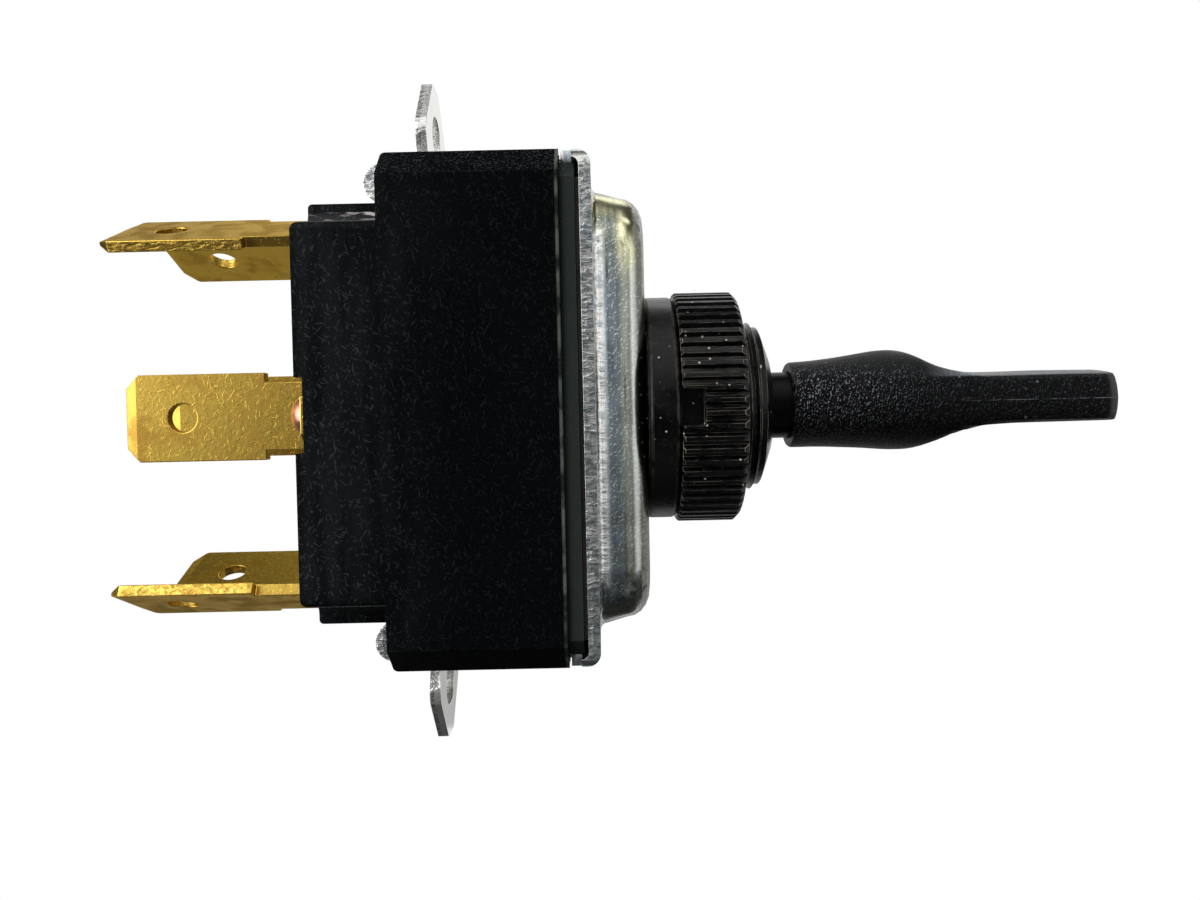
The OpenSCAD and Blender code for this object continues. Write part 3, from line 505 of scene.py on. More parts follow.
class SWITCH_OT_stage(bpy.types.Operator):
    """Builds floor, backdrop, lamps, studio and camera"""

    bl_idname = "switch.stage"
    bl_label = "Stage"

    # Name, place, turn and share of white in a mirror of each square sheet, in metres
    sheet_size = 0.6
    sheets = (
        ("floor", (0, 0.312, CAD_BOX[0].z - 4 * MM), (0, 0, 0), 0.46),
        ("backdrop", (0, 0.3, 0), (math.radians(90), 0, 0), 0.92),
    )
    # Name, place, size and power of each soft lamp
    lamps = (("key", (-0.06, -0.14, 0.18), 0.1, 0.35), ("side", (0.2, -0.1, 0.05), 0.1, 0.2))
    # Direction, inner and outer angle in degrees and strength of each panel of the dim room
    room_level = 0.045
    panels = (
        ((-0.82, -0.5, 0.28), 12, 44, 3.5),
        ((0.08, -0.5, 0.86), 8, 45, 1.0),
        ((0.93, -0.36, 0.12), 8, 32, 0.85),
        ((0.4, -0.92, 0.0), 3, 24, 0.12),
        ((0.0, -0.6, -0.8), 6, 30, 0.12),
        ((0.0, 0.7, 0.71), 6, 23, 1.5),
        ((0.88, 0.46, 0.1), 10, 34, 0.5),
    )
    # Bearing from the front, inner and outer angle and strength of each upright strip, and its fade by height
    strips = ((31, 1, 6, 1.8), (47, 2, 8, 0.9))
    strip_fade = (-0.18, 0.12, 0.17, 1.1)
    eye_spot = (-3.3 * MM, -69.1 * MM, 0)

    def execute(self, context):
        colours, sizes = settings()
        for name, spot, turn, mirrored in self.sheets:
            deselect()
            bpy.ops.mesh.primitive_plane_add(size=self.sheet_size, location=spot, rotation=turn)
            sheet = context.object
            sheet.name = name
            sheet.data.materials.append(self.white(f"{name}_white", colours.ground, mirrored))
        self.hang_lamps(context)
        self.light_room(context)
        self.set_camera(context, sizes)
        context.scene.view_settings.view_transform = "Standard"
        return {"FINISHED"}

    def white(self, name, tone, mirrored):
        """A pale sheet that the camera sees as white, and a mirror by its share."""
        ground = Finish(name, Roughness=0.9, Base_Color=(*tone, 1))
        path = ground.node("LightPath").outputs
        seen = ground.most(path["Is Camera Ray"], path["Is Transmission Ray"])
        level = ground.most(seen, ground.times(path["Is Glossy Ray"], mirrored))
        mix = ground.node("MixShader", Fac=ground.most(seen, path["Is Glossy Ray"]))
        ground.fill(mix.inputs[1], ground.shader.outputs[0])
        ground.fill(mix.inputs[2], ground.node("Emission", Strength=level).outputs[0])
        ground.fill(ground.tree.nodes["Material Output"].inputs["Surface"], mix.outputs[0])
        return ground.material

    def hang_lamps(self, context):
        """Soft lamps above and at the side, aimed at the object and unseen in mirrors."""
        for name, spot, size, power in self.lamps:
            lamp = bpy.data.lights.new(name, "AREA")
            lamp.energy = power
            lamp.size = size
            holder = bpy.data.objects.new(name, lamp)
            context.scene.collection.objects.link(holder)
            holder.location = spot
            holder.visible_glossy = False
            holder.rotation_euler = (-Vector(spot)).to_track_quat("-Z", "Y").to_euler()

    def light_room(self, context):
        """A dim room with large soft panels round the object and two upright strips at the front right."""
        world = bpy.data.worlds.new("studio")
        context.scene.world = world
        world.use_nodes = True
        room = Graph(world.node_tree)
        look = room.node("TexCoord").outputs["Generated"]
        total = self.room_level
        for aim, inner, outer, strength in self.panels:
            dot = room.node("VectorMath", {"operation": "DOT_PRODUCT"})
            room.fill(dot.inputs[0], look)
            room.fill(dot.inputs[1], Vector(aim).normalized())
            low, high = (math.cos(math.radians(a)) for a in (outer, inner))
            total = room.math("ADD", room.span(dot.outputs["Value"], low, high, 0.0, strength), total)
        front = room.times(room.axis(look, "Y"), -1.0)
        bearing = room.math("ARCTAN2", room.axis(look, "X"), front)
        height = room.span(room.axis(look, "Z"), *self.strip_fade)
        for aim, inner, outer, strength in self.strips:
            off = room.math("ABSOLUTE", room.math("SUBTRACT", bearing, math.radians(aim)))
            strip = room.span(off, math.radians(inner), math.radians(outer), strength, 0.0)
            total = room.math("ADD", room.times(strip, height), total)
        path = room.node("LightPath").outputs
        seen = room.most(path["Is Camera Ray"], path["Is Transmission Ray"])
        sky = world.node_tree.nodes["Background"]
        room.fill(sky.inputs["Color"], room.blend(seen, total, (1.0, 1.0, 1.0)))

    def set_camera(self, context, sizes):
        """The photo's close, level view along the body's thickness."""
        eye = bpy.data.cameras.new("camera")
        eye.lens = sizes.camera_lens / MM
        eye.sensor_width = 36
        eye.shift_y = sizes.camera_shift
        eye.clip_start = 2 * MM
        holder = bpy.data.objects.new("camera", eye)
        context.scene.collection.objects.link(holder)
        turn = Matrix.Rotation(math.pi / 2 - sizes.camera_pitch, 4, "X")
        roll = Matrix.Rotation(-sizes.camera_roll, 4, "Z")
        holder.matrix_world = Matrix.Translation(self.eye_spot) @ turn @ roll
        context.scene.camera = holder


class SWITCH_OT_housing(bpy.types.Operator):
    """Dresses the moulded body"""

    bl_idname = "switch.housing"
    bl_label = "Housing"

    # Places in mm of the painted sheen on the left end, where the scuffs are also denser, the worn line, the
    # rim under the cover and the shoulders
    sheen_x = (-22.5, -12)
    line_x = (-5.97, -5.88, -5.76, -5.7)
    rim_x = (-5.75, -5.65, -5.2)
    shoulder_z = (15.5, 15.7)
    # Places in mm of the glossy fillet with its painted highlight and of the notches for the middle terminals
    fillet_x = -17.8
    fillet_y = (5.95, 7.35)
    fillet_z = (12.65, 14.05)
    highlight_z = (13.35, 13.6)
    notch_x = -22
    notch_z = 2.7

    def execute(self, context):
        colours, sizes = settings()
        piece = dress(
            "housing",
            self.moulded_black(colours),
            sizes.mould_edge,
            segments=3,
            weigh=lambda spot: not self.in_notch(spot),
        )
        mark_faces(piece, "gloss", self.is_fillet)
        return {"FINISHED"}

    def moulded_black(self, colours):
        """Black moulding with scuffs, a painted sheen on the left end, a worn line and rim, and a glossy
        fillet with a painted highlight.
        """
        finish = Finish("moulded_black", Specular_IOR_Level=0.04, Coat_Roughness=0.14)
        place = finish.place
        along, up = finish.mm("X"), finish.mm("Z")
        gloss = finish.attribute("gloss")
        scuffs = finish.effect("streaks", Scale=8000.0, Amount=0.335)
        specks = finish.effect("specks", Scale=1900.0, Size=0.16, Amount=0.1)
        worn = finish.effect("worn_edges", Scale=500.0, Amount=0.42)
        smudge = finish.effect("smudges", Scale=90.0)
        # Painted sheen over the left end of the body, where the scuffs are also denser
        painted_sheen = finish.span(along, *self.sheen_x, 1.0, 0.0)
        marks = finish.most(finish.times(scuffs, 0.2), finish.times(specks, 0.3))
        marks = finish.times(marks, finish.math("MULTIPLY_ADD", painted_sheen, 0.75, 0.2))
        marks = finish.most(marks, finish.times(worn, 0.3))
        patches = finish.span(finish.noise(place, 500.0, 3.0), 0.4, 0.6, 0.15, 1.0)
        line = finish.times(finish.window(along, *self.line_x), patches)
        start, full, end = self.rim_x
        rim = finish.times(finish.span(along, start, end, 0.3, 1.0), finish.span(along, start, full))
        torn = finish.noise(finish.stretch(place, (5.0, 1.0, 1.0)), 2600.0, 3.0, 0.5)
        # Painted highlight: a pale broken line along the glossy fillet
        fillet_highlight = finish.times(gloss, finish.span(up, *self.highlight_z), finish.span(torn, 0.45, 0.6))
        cloud = finish.noise(finish.stretch(place, (1.0, 1.0, 6.0)), 700.0, 3.0)
        # Painted sheen in soft upright clouds over the left end
        sheen = finish.times(painted_sheen, finish.span(cloud, 0.38, 0.62, 0.25, 1.0))
        shoulders = finish.span(finish.math("ABSOLUTE", up), *self.shoulder_z, 1.0, 0.35)
        relief = finish.bump(finish.grain(Scale=3200.0), 0.01)
        finish.feed(
            Base_Color=finish.coats(
                colours.moulding,
                (sheen, colours.moulding_sheen),
                (rim, colours.moulding_rim),
                (marks, colours.moulding_scuff),
                (line, colours.moulding_line),
                (fillet_highlight, colours.moulding_highlight),
            ),
            Roughness=finish.times(finish.span(smudge, 0.0, 1.0, 0.25, 0.35), shoulders),
            Normal=finish.bump(scuffs, 0.006, below=relief),
            Coat_Weight=finish.times(gloss, finish.span(smudge, 0.0, 1.0, 0.1, 0.4)),
        )
        return finish.material

    def in_notch(self, spot):
        """Whether a point lies where a middle terminal passes the wall."""
        return abs(spot.z) < self.notch_z * MM and spot.x < self.notch_x * MM

    def is_fillet(self, face):
        """Whether a face belongs to the glossy fillet between side wall and taller middle."""
        x, y, z = face.center / MM
        in_y = self.fillet_y[0] < abs(y) < self.fillet_y[1]
        in_z = self.fillet_z[0] < abs(z) < self.fillet_z[1]
        return in_y and in_z and x < self.fillet_x


class SWITCH_OT_cover(bpy.types.Operator):
    """Dresses the plated cover"""

    bl_idname = "switch.cover"
    bl_label = "Cover"

    # The dome's height, rounding and foot, and the bands by their depth inside its outline, in mm: painted
    # shade on the rounded edge, the painted highlight, the painted dark reflection and the painted bright
    # reflection on the fillet
    dome_top = 15.0
    dome_round = 2.5
    foot_x = (-3.5, -3.2)
    rim_depth = (0.8, 1.3)
    pale_depth = (0.7, 1.1, 2.0, 2.5)
    dark_depth = (1.3, 1.7, 2.49, 2.6)
    fillet_band_depth = (2.5, 2.66, 4.2, 4.6)
    # Heights in mm over which the yellowish patches, with a painted highlight growing towards the top, and
    # the painted highlight at the corner set in
    tint_z = (5, 15)
    corner_z = (8, 13)
    # Places in mm of the ears, their faces and torn sides, the curls and the sides of the flange
    bare_z = (17.7, 18.2)
    bare_x = (-17.6, -17.3)
    torn_x = (-15.48, -15.38)
    ear_foot_z = 17.6
    ear_edge_z = 17.8
    ear_face_x = -15.2
    curl_x = -17.7
    curl_y = 5.5
    flange_y = 8.6

    def execute(self, context):
        colours, sizes = settings()
        piece = dress(
            "cover", self.zinc_plate(colours), sizes.sheet_edge, segments=3, sharp=40, weigh=self.edge_share
        )
        mark_faces(piece, "cut", self.is_cut)
        return {"FINISHED"}

    def zinc_plate(self, colours):
        """Plated sheet with yellowish patches and a painted highlight towards the top, painted dark and
        bright reflection bands round the dome, a painted highlight near the corner, painted shade on the
        front edge, bare ears and torn sides.
        """
        finish = Finish("zinc_plate", Metallic=1.0)
        place = finish.place
        along, up = finish.mm("X"), finish.mm("Z")
        high = finish.math("ABSOLUTE", up)
        cut = finish.attribute("cut")
        # Yellowish patches of the plating, with a painted highlight growing towards the top
        tint_and_highlight = finish.effect("smudges", Scale=160.0, Low=0.38, High=0.7)
        tint_and_highlight = finish.times(tint_and_highlight, finish.span(up, *self.tint_z, 0.15, 1.0))
        stain = finish.times(finish.effect("smudges", Scale=420.0, Low=0.5, High=0.8), 0.35)
        depth = self.depth(finish, along, high)
        wall = finish.span(along, *self.foot_x)
        # Painted reflection: a dark bluish band along the dome's wall
        dark = finish.times(finish.window(depth, *self.dark_depth), wall, 0.82)
        corner = finish.span(up, *self.corner_z, 0.2, 1.0)
        # Painted highlight: a warm pale band near the dome's top corner
        pale = finish.times(finish.window(depth, *self.pale_depth), corner, wall)
        # Painted shade: the dome's rounded front edge is darkened
        rim = finish.times(finish.span(depth, *self.rim_depth, 0.85, 0.0), wall)
        # Painted reflection: a bright band along the flare at the dome's foot, which also holds the chatter
        # ticks
        fillet_band = finish.window(depth, *self.fillet_band_depth)
        squiggles = finish.effect("lit_wrinkles", Scale=4200.0, Shift=0.09 * MM)
        # Painted light: lit sides of squiggles and the fillet's painted reflection, with the bare sheared
        # sides
        light = finish.most(finish.times(squiggles, 0.35), finish.times(fillet_band, 0.95), finish.times(cut, 0.6))
        brushed = finish.noise(finish.stretch(place, (10.0, 1.0, 1.0)), 3400.0, 3.0)
        ticks = finish.times(fillet_band, finish.span(brushed, 0.5, 0.56), 0.5)
        scratches = finish.times(finish.effect("streaks", Scale=8000.0, Amount=0.38), 0.25)
        bare = finish.most(finish.span(high, *self.bare_z), finish.span(along, *self.bare_x, 1.0, 0.0))
        shear = finish.noise(finish.stretch(place, (2.0, 1.0, 1.0)), 4200.0, 3.0, 0.5)
        ragged = finish.span(finish.math("MULTIPLY_ADD", shear, 0.4, along), *self.torn_x, 1.0, 0.0)
        ragged = finish.most(ragged, finish.math("LESS_THAN", high, self.bare_z[0]))
        torn = finish.times(cut, finish.span(shear, 0.42, 0.62), ragged, 0.75)
        relief = finish.bump(finish.times(brushed, finish.math("MULTIPLY_ADD", fillet_band, 0.9, 0.1)), 0.04)
        relief = finish.bump(finish.times(shear, cut), 0.06, below=relief)
        waves = finish.noise(finish.stretch(place, (1.0, 8.0, 30.0)), 900.0, 2.0)
        relief = finish.bump(waves, 0.09, below=relief)
        finish.feed(
            Base_Color=finish.coats(
                colours.zinc,
                (tint_and_highlight, colours.zinc_warm),
                (stain, colours.zinc_dark),
                (dark, colours.zinc_dark_reflection),
                (pale, colours.zinc_warm),
                (rim, colours.zinc_edge_shade),
                (light, colours.zinc_bright),
                (finish.most(ticks, scratches), colours.zinc_dark),
                (bare, colours.zinc_bright),
                (torn, colours.zinc_dark),
                (finish.effect("worn_edges", Scale=1500.0, Amount=0.5), colours.zinc_bright),
            ),
            Roughness=finish.math("ADD", finish.span(stain, 0.0, 1.0, 0.24, 0.32), finish.times(cut, 0.1)),
            Normal=finish.bump(finish.noise(place, 300.0, 1.0), 0.16, below=relief),
        )
        return finish.material

    def depth(self, finish, along, high):
        """Eased distance in mm inwards from the rounded outline of the dome, as seen from the side."""
        reach = 9
        middle = self.dome_top - self.dome_round
        ahead = finish.span(along, -self.dome_round, self.dome_round, 0.0, 2 * self.dome_round)
        above = finish.span(high, middle, middle + reach, 0.0, reach)
        out = finish.math("SQRT", finish.math("MULTIPLY_ADD", ahead, ahead, finish.times(above, above)))
        behind = finish.span(along, -reach, -self.dome_round, reach - self.dome_round, 0.0)
        below = finish.span(high, 0.0, middle, middle, 0.0)
        inside = finish.math("MINIMUM", behind, below)
        return finish.math("ADD", finish.math("SUBTRACT", self.dome_round, out), inside)

    def edge_share(self, spot):
        """Rounding of an edge: full at the burnished curls and fronts of the ears, a third elsewhere."""
        x, y, z = spot / MM
        curl = x < self.curl_x and abs(y) > self.curl_y
        ear = abs(z) > self.ear_edge_z and abs(x - self.ear_face_x) < 0.1
        return 1.0 if curl or ear else 0.33

    def is_cut(self, face):
        """Whether a face is a sheared side of the sheet."""
        x, y, z = face.center / MM
        normal = face.normal
        ear = abs(z) > self.ear_foot_z and abs(normal.x) < 0.35
        flange = abs(y) > self.flange_y and abs(normal.y) > 0.8
        curl = x < self.curl_x and abs(normal.y) > 0.3
        return ear or flange or curl


class SWITCH_OT_collar(bpy.types.Operator):
    """Dresses the threaded bushing, the back ring and the knurled nut"""

    bl_idname = "switch.collar"
    bl_label = "Collar"

    # The thread's radius, first groove and plain end, and the bushing's rounded front, in mm
    thread_radius = 6.3
    thread_start = 0.4
    thread_end = 1.6
    front_length = 0.3
    # Half a groove's width as a share of the pitch
    groove_half = 0.36
    # The nut's ridges: their count, the radius of their feet in mm and old and new shares of half a pitch
    ridges = 62
    ridge_foot = 8.1
    ridge_rows = ((0, 0), (0.3, 0.17), (0.47, 0.36), (0.51, 0.51))
    # Wear of the ridges, partly a painted highlight along their edges, and of their ends over a length in mm
    ridge_wear_and_highlight = 0.14
    end_wear = 0.45
    end_length = 0.4

    def execute(self, context):
        colours, sizes = settings()
        black = self.collar_black(colours)
        dress(
            "bushing",
            black,
            sizes.bushing_edge,
            shape=lambda piece: self.cut_thread(piece, sizes),
            segments=1,
            sharp=40,
            weigh=self.edge_share,
        )
        dress("back_ring", black, sizes.ring_edge, wear=0.04)
        nut = dress(
            "knurled_nut", black, sizes.ridge_edge, shape=self.open_grooves, sharp=20, wear=self.ridge_wear_and_highlight
        )
        self.wear_ends(nut)
        return {"FINISHED"}

    def collar_black(self, colours):
        """Satin black with worn edges, specks and faint scuffs; on the nut's ridges the worn edges are partly
        painted highlights.
        """
        finish = Finish("collar_black", Specular_IOR_Level=0.25)
        # Worn edges; along the nut's ridges their pale colour is partly a painted highlight
        worn = finish.effect("worn_edges", Scale=900.0, Amount=0.52)
        specks = finish.effect("specks", Scale=2600.0, Size=0.25, Amount=0.09)
        scuffs = finish.effect("scuffs", Scale=2400.0, Width=0.05, Amount=0.5)
        smudge = finish.effect("smudges", Scale=220.0)
        marks = finish.most(worn, finish.times(specks, 0.9), finish.times(scuffs, 0.025))
        finish.feed(
            Base_Color=finish.blend(marks, colours.collar, colours.collar_wear_and_highlight),
            Roughness=finish.span(smudge, 0.0, 1.0, 0.2, 0.36),
            Normal=finish.bump(finish.grain(Scale=2600.0), 0.02),
        )
        return finish.material

    def edge_share(self, spot):
        """Rounding of an edge of the bushing: full at its front end, less on the thread."""
        return 1.0 if spot.x > BUSHING[1].x - self.front_length * MM else 0.4

    def wear_ends(self, piece):
        """Raises the wear of the rounded edges near both ends of the nut."""
        values = piece.data.attributes["edge"].data
        for face in piece.data.polygons:
            x = face.center.x
            if values[face.index].value and min(x - NUT[0].x, NUT[1].x - x) < self.end_length * MM:
                values[face.index].value = self.end_wear

    def open_grooves(self, piece):
        """Narrows the ridges of the nut and widens the grooves between them."""
        pitch = 2 * math.pi / self.ridges
        for vert in piece.data.vertices:
            away = math.hypot(vert.co.y, vert.co.z)
            if away < self.ridge_foot * MM:
                continue
            turn = math.atan2(vert.co.y, vert.co.z) / pitch
            off = turn - round(turn)
            a, b = next(pair for pair in zip(self.ridge_rows, self.ridge_rows[1:]) if abs(off) <= pair[1][0])
            new = a[1] + (b[1] - a[1]) * (abs(off) - a[0]) / (b[0] - a[0])
            turn = (round(turn) + math.copysign(new, off)) * pitch
            vert.co.y, vert.co.z = away * math.sin(turn), away * math.cos(turn)

    def cut_thread(self, piece, sizes):
        """Presses ring grooves into the bushing's outer wall."""
        radius = self.thread_radius * MM
        half = self.groove_half * sizes.thread_pitch
        pick(piece)
        bpy.ops.object.mode_set(mode="EDIT")
        spot = self.thread_start * MM
        while spot < BUSHING[1].x - self.thread_end * MM:
            for x in (spot - half, spot, spot + half):
                bpy.ops.mesh.select_all(action="SELECT")
                bpy.ops.mesh.bisect(plane_co=(x, 0, 0), plane_no=(1, 0, 0))
            mesh = bmesh.from_edit_mesh(piece.data)
            for vert in mesh.verts:
                away = math.hypot(vert.co.y, vert.co.z)
                if abs(vert.co.x - spot) < 0.01 * MM and abs(away - radius) < 0.03 * MM:
                    vert.co.y *= 1 - sizes.thread_depth / radius
                    vert.co.z *= 1 - sizes.thread_depth / radius
            bmesh.update_edit_mesh(piece.data)
            spot += sizes.thread_pitch
        bpy.ops.object.mode_set(mode="OBJECT")


def smooth_row(rows, share):
    """Value of a list of (share, value) rows at a share, on a smooth curve."""
    count = len(rows) - 1
    i = max(k for k in range(count) if k == 0 or rows[k][0] <= share)
    f = (share - rows[i][0]) / (rows[i + 1][0] - rows[i][0])
    a, b, c, d = (rows[min(max(k, 0), count)][1] for k in (i - 1, i, i + 1, i + 2))
    return 0.5 * (
        2 * b + (c - a) * f + (2 * a - 5 * b + 4 * c - d) * f**2 + (3 * b - a - 3 * c + d) * f**3
    )


class SWITCH_OT_lever(bpy.types.Operator):
    """Dresses the neck and lofts the duckbill handle"""

    bl_idname = "switch.lever"
    bl_label = "Lever"

    # Half width, height above and below the axis and shift of the middle, in mm by share of the length
    plan = (
        (0, 3.25), (0.02, 3.27), (0.09, 3.33), (0.19, 3.53), (0.31, 3.82),
        (0.4, 3.84), (0.56, 3.97), (0.75, 4.05), (0.87, 4.1), (1, 4.1),
    )
    top = (
        (0, 4.6), (0.27, 4.6), (0.31, 4.46), (0.349, 4.18), (0.377, 3.86), (0.433, 3.12),
        (0.4725, 2.78), (0.51, 2.55), (0.567, 2.3), (0.641, 2.26), (0.793, 2.3), (1, 2.26),
    )
    bottom = (
        (0, 4.6), (0.27, 4.4), (0.31, 4.06), (0.349, 3.88), (0.377, 3.72), (0.433, 3.14),
        (0.491, 2.44), (0.567, 1.94), (0.641, 1.78), (0.699, 1.74), (0.793, 1.72), (1, 1.68),
    )
    lift = (
        (0, 0), (0.16, 0.13), (0.262, 0.24), (0.31, 0.24),
        (0.36, 0.2), (0.5, 0.05), (0.6, 0.03), (1, 0.03),
    )
    # Radius and depth of the bore for the neck, in mm
    bore = 2.56
    bore_depth = 0.9
    # Shares of the length where the paddle's corners and the tip's rim begin to round and the root's ends
    corner_share = 0.92
    tip_share = 0.975
    root_share = 0.008
    # What these roundings take off, half the seam's width and the rise of the crown's ridge, in mm
    corner_cut = 1.9
    tip_cut = 0.45
    root_cut = 0.1
    seam_half = 0.09
    ridge_rise = 0.02
    # Share of the length over which the seam sets in
    seam_share = 1 / 30
    # How square a section is, and the slope of its lower face as a share of the crown
    squareness = 26
    lower_slope = 0.13
    # Sections close to the root, and the share from which they follow the rounded corners
    root_rings = (0.005, 0.01, 0.015)
    bend_share = 0.915
    bend_rings = 16
    # Places in mm of the worn seam, the start and end of the painted highlight band of lit wrinkles, the
    # painted highlight along the paddle's upper face and the painted sheen on the upper side
    seam_x = (20, 30)
    highlight_band_x = (9, 24)
    highlight_band_from_z = (-2.6, 0.9)
    highlight_band_to_z = (1.9, 3.5)
    ledge_x = (20, 24)
    ledge_z = (1.75, 1.95)
    top_sheen_z = (1, 4.6)
    # Distances in mm of the painted highlight band from the tip
    tip_highlight_inset = (1.4, 1.0, 0.7, 0.4)

    def execute(self, context):
        colours, sizes = settings()
        dress("lever_stem", self.gloss_black(colours), sizes.stem_edge)
        place_on_body(self.loft(sizes), "handle", self.grained_black(colours))
        return {"FINISHED"}

    def gloss_black(self, colours):
        """Gloss black paint on the neck."""
        gloss = Finish("gloss_black", Base_Color=(*colours.stem, 1), Specular_IOR_Level=0.08)
        gloss.feed(
            Roughness=gloss.span(gloss.effect("smudges", Scale=300.0), 0.0, 1.0, 0.12, 0.28),
            Normal=gloss.bump(gloss.grain(Scale=1500.0), 0.01),
        )
        return gloss.material

    def grained_black(self, colours):
        """Grained moulding: painted lit sides of its wrinkled grain in a painted highlight band, specks,
        painted sheen on the upper side, painted highlights on the paddle's upper edge and at the tip, and a
        worn seam.
        """
        finish = Finish("grained_black", Specular_IOR_Level=0.07)
        along, up = finish.mm("X"), finish.mm("Z")
        specks = finish.effect("specks", Scale=1100.0, Size=0.14, Amount=0.16)
        upright = finish.stretch(finish.place, (1.0, 1.0, 1.9))
        lit_wrinkles = finish.effect("lit_wrinkles", vector=upright, Scale=8200.0)
        seam = finish.effect("worn_edges", Scale=900.0, Amount=0.55)
        seam = finish.times(seam, finish.span(along, *self.seam_x, 0.0, 0.8))
        # Painted highlight band: the lit sides of the wrinkles show most across the upper middle of the belly
        shown = finish.times(
            finish.span(up, *self.highlight_band_from_z, 0.3, 1.2),
            finish.span(up, *self.highlight_band_to_z, 1.0, 0.08),
            finish.span(along, *self.highlight_band_x, 1.0, 0.16),
        )
        marks = finish.most(finish.times(specks, 0.6), finish.times(lit_wrinkles, shown), seam)
        # Painted highlight: a lighter band where the tip begins to round
        tip_highlight = finish.window(along, *(HANDLE[1].x / MM - inset for inset in self.tip_highlight_inset))
        # Painted highlight along the paddle's upper edge, weaker where the lit sides of wrinkles lie
        ledge_highlight = finish.times(finish.span(up, *self.ledge_z), finish.span(along, *self.ledge_x))
        ledge_highlight = finish.times(ledge_highlight, finish.span(lit_wrinkles, 0.0, 1.0, 1.0, 0.3))
        height = finish.math("ADD", lit_wrinkles, finish.grain(Scale=4300.0, Distortion=1.4))
        finish.feed(
            Base_Color=finish.coats(
                colours.handle,
                # Painted sheen on the upper side
                (finish.span(up, *self.top_sheen_z), colours.handle_top_sheen),
                (tip_highlight, colours.handle_tip_highlight),
                (ledge_highlight, colours.handle_speck_and_highlight),
                (marks, colours.handle_speck_and_highlight),
            ),
            Roughness=finish.span(finish.effect("smudges", Scale=200.0), 0.0, 1.0, 0.28, 0.36),
            Normal=finish.bump(height, 0.11),
        )
        return finish.material

    def rounding(self, share, start):
        """What a quarter round from a share of the length to its end has taken off at a share."""
        part = max(0.0, (share - start) / (1 - start))
        return 1 - math.sqrt(max(0.0, 1 - part * part))

    def section(self, share, turn, sizes):
        """Distance from the section's middle to the handle's skin at a share of its length and a turn."""
        above = math.sin(turn) >= 0
        side = 1 if above else -1
        tall = smooth_row(self.top if above else self.bottom, share) - side * smooth_row(self.lift, share)
        tall = (tall - self.tip_cut * self.rounding(share, self.tip_share)) * MM
        root = max(0.0, 1 - share / self.root_share)
        wide = smooth_row(self.plan, share) - self.corner_cut * self.rounding(share, self.corner_share)
        wide = (wide - self.root_cut * root * root) * MM
        crown = sizes.handle_crown if above else self.lower_slope * sizes.handle_crown
        across, up = abs(math.cos(turn)), abs(math.sin(turn))
        flat = tall / max(up, 1e-6)
        slope = (tall + self.ridge_rise * MM) / max(up * math.cos(crown) + across * math.sin(crown), 1e-6)
        away = sum(r ** -self.squareness for r in (wide, flat, slope)) ** (-1 / self.squareness)
        line = max(0.0, 1 - up * away / (self.seam_half * MM)) * min(1.0, share / self.seam_share)
        return away + sizes.seam * (line * (across > 0.5) - 1)

    def section_turns(self):
        """Turns round the axis, dense beside the two seams."""
        fine = (0.0, 0.006, 0.014, 0.025, 0.05)
        steps = 14
        rest = math.pi / 2 - fine[-1]
        quarter = [*fine, *(fine[-1] + rest * (k + 1) / steps for k in range(steps))]
        half = [*quarter, *(math.pi - a for a in reversed(quarter[:-1]))]
        return [*half, *(math.pi + a for a in half[1:])]

    def section_rings(self, sizes):
        """Place on the axis, share of the length and scale of every section, from the bore to the tip."""
        start, end = HANDLE[0].x, HANDLE[1].x
        bend, rest = self.bend_share, 1 - self.bend_share
        plain_rings = sizes.handle_rings - self.bend_rings
        step = math.pi / 2 / self.bend_rings
        shares = set(self.root_rings)
        shares.update(bend * k / plain_rings for k in range(plain_rings + 1))
        shares.update(bend + rest * math.sin(step * (k + 1)) for k in range(self.bend_rings))
        return [
            (start + self.bore_depth * MM, None, self.bore * MM),
            (start, None, self.bore * MM),
            *((start + (end - start) * share, share, 1) for share in sorted(shares)),
            (end, 1, 0.6),
            (end, 1, 0.2),
        ]

    def loft(self, sizes):
        """The handle's skin: a grid wrapped round the axis and closed at both ends."""
        turns, rings = self.section_turns(), self.section_rings(sizes)
        lengthwise, around = len(rings) - 1, len(turns) - 1
        deselect()
        bpy.ops.mesh.primitive_grid_add(x_subdivisions=lengthwise, y_subdivisions=around, size=1)
        piece = bpy.context.object
        piece.name = piece.data.name = "handle_loft"
        bpy.ops.object.mode_set(mode="EDIT")
        mesh = bmesh.from_edit_mesh(piece.data)
        seam = mesh.faces.layers.float.new("edge")
        for face in mesh.faces:
            row = (face.calc_center_median().y + 0.5) * around
            beside = abs(math.sin(turns[math.floor(row)])) + abs(math.sin(turns[math.ceil(row)]))
            face[seam] = float(beside < 0.01)
        for vert in mesh.verts:
            x, share, scale = rings[round((vert.co.x + 0.5) * lengthwise)]
            turn = turns[round((vert.co.y + 0.5) * around)]
            away = scale if share is None else scale * self.section(share, turn, sizes)
            lift = smooth_row(self.lift, share or 0) * MM
            vert.co = (x, away * math.cos(turn), away * math.sin(turn) + lift)
        bmesh.update_edit_mesh(piece.data)
        self.close_skin(piece)
        return piece

    def close_skin(self, piece):
        """Joins the grid's long sides, fills both ends without a seam and shades the skin smooth."""
        bpy.ops.mesh.select_all(action="SELECT")
        bpy.ops.mesh.remove_doubles(threshold=0.0004 * MM)
        bpy.ops.mesh.select_all(action="DESELECT")
        bpy.ops.mesh.select_non_manifold()
        bpy.ops.mesh.fill_holes(sides=0)
        mesh = bmesh.from_edit_mesh(piece.data)
        seam = mesh.faces.layers.float["edge"]
        for face in mesh.faces:
            if len(face.verts) > 4:
                face[seam] = 0.0
        bmesh.update_edit_mesh(piece.data)
        bpy.ops.mesh.select_all(action="SELECT")
        bpy.ops.mesh.normals_make_consistent(inside=False)
        bpy.ops.object.mode_set(mode="OBJECT")
        pick(piece)
        bpy.ops.object.shade_smooth_by_angle(angle=math.radians(50))


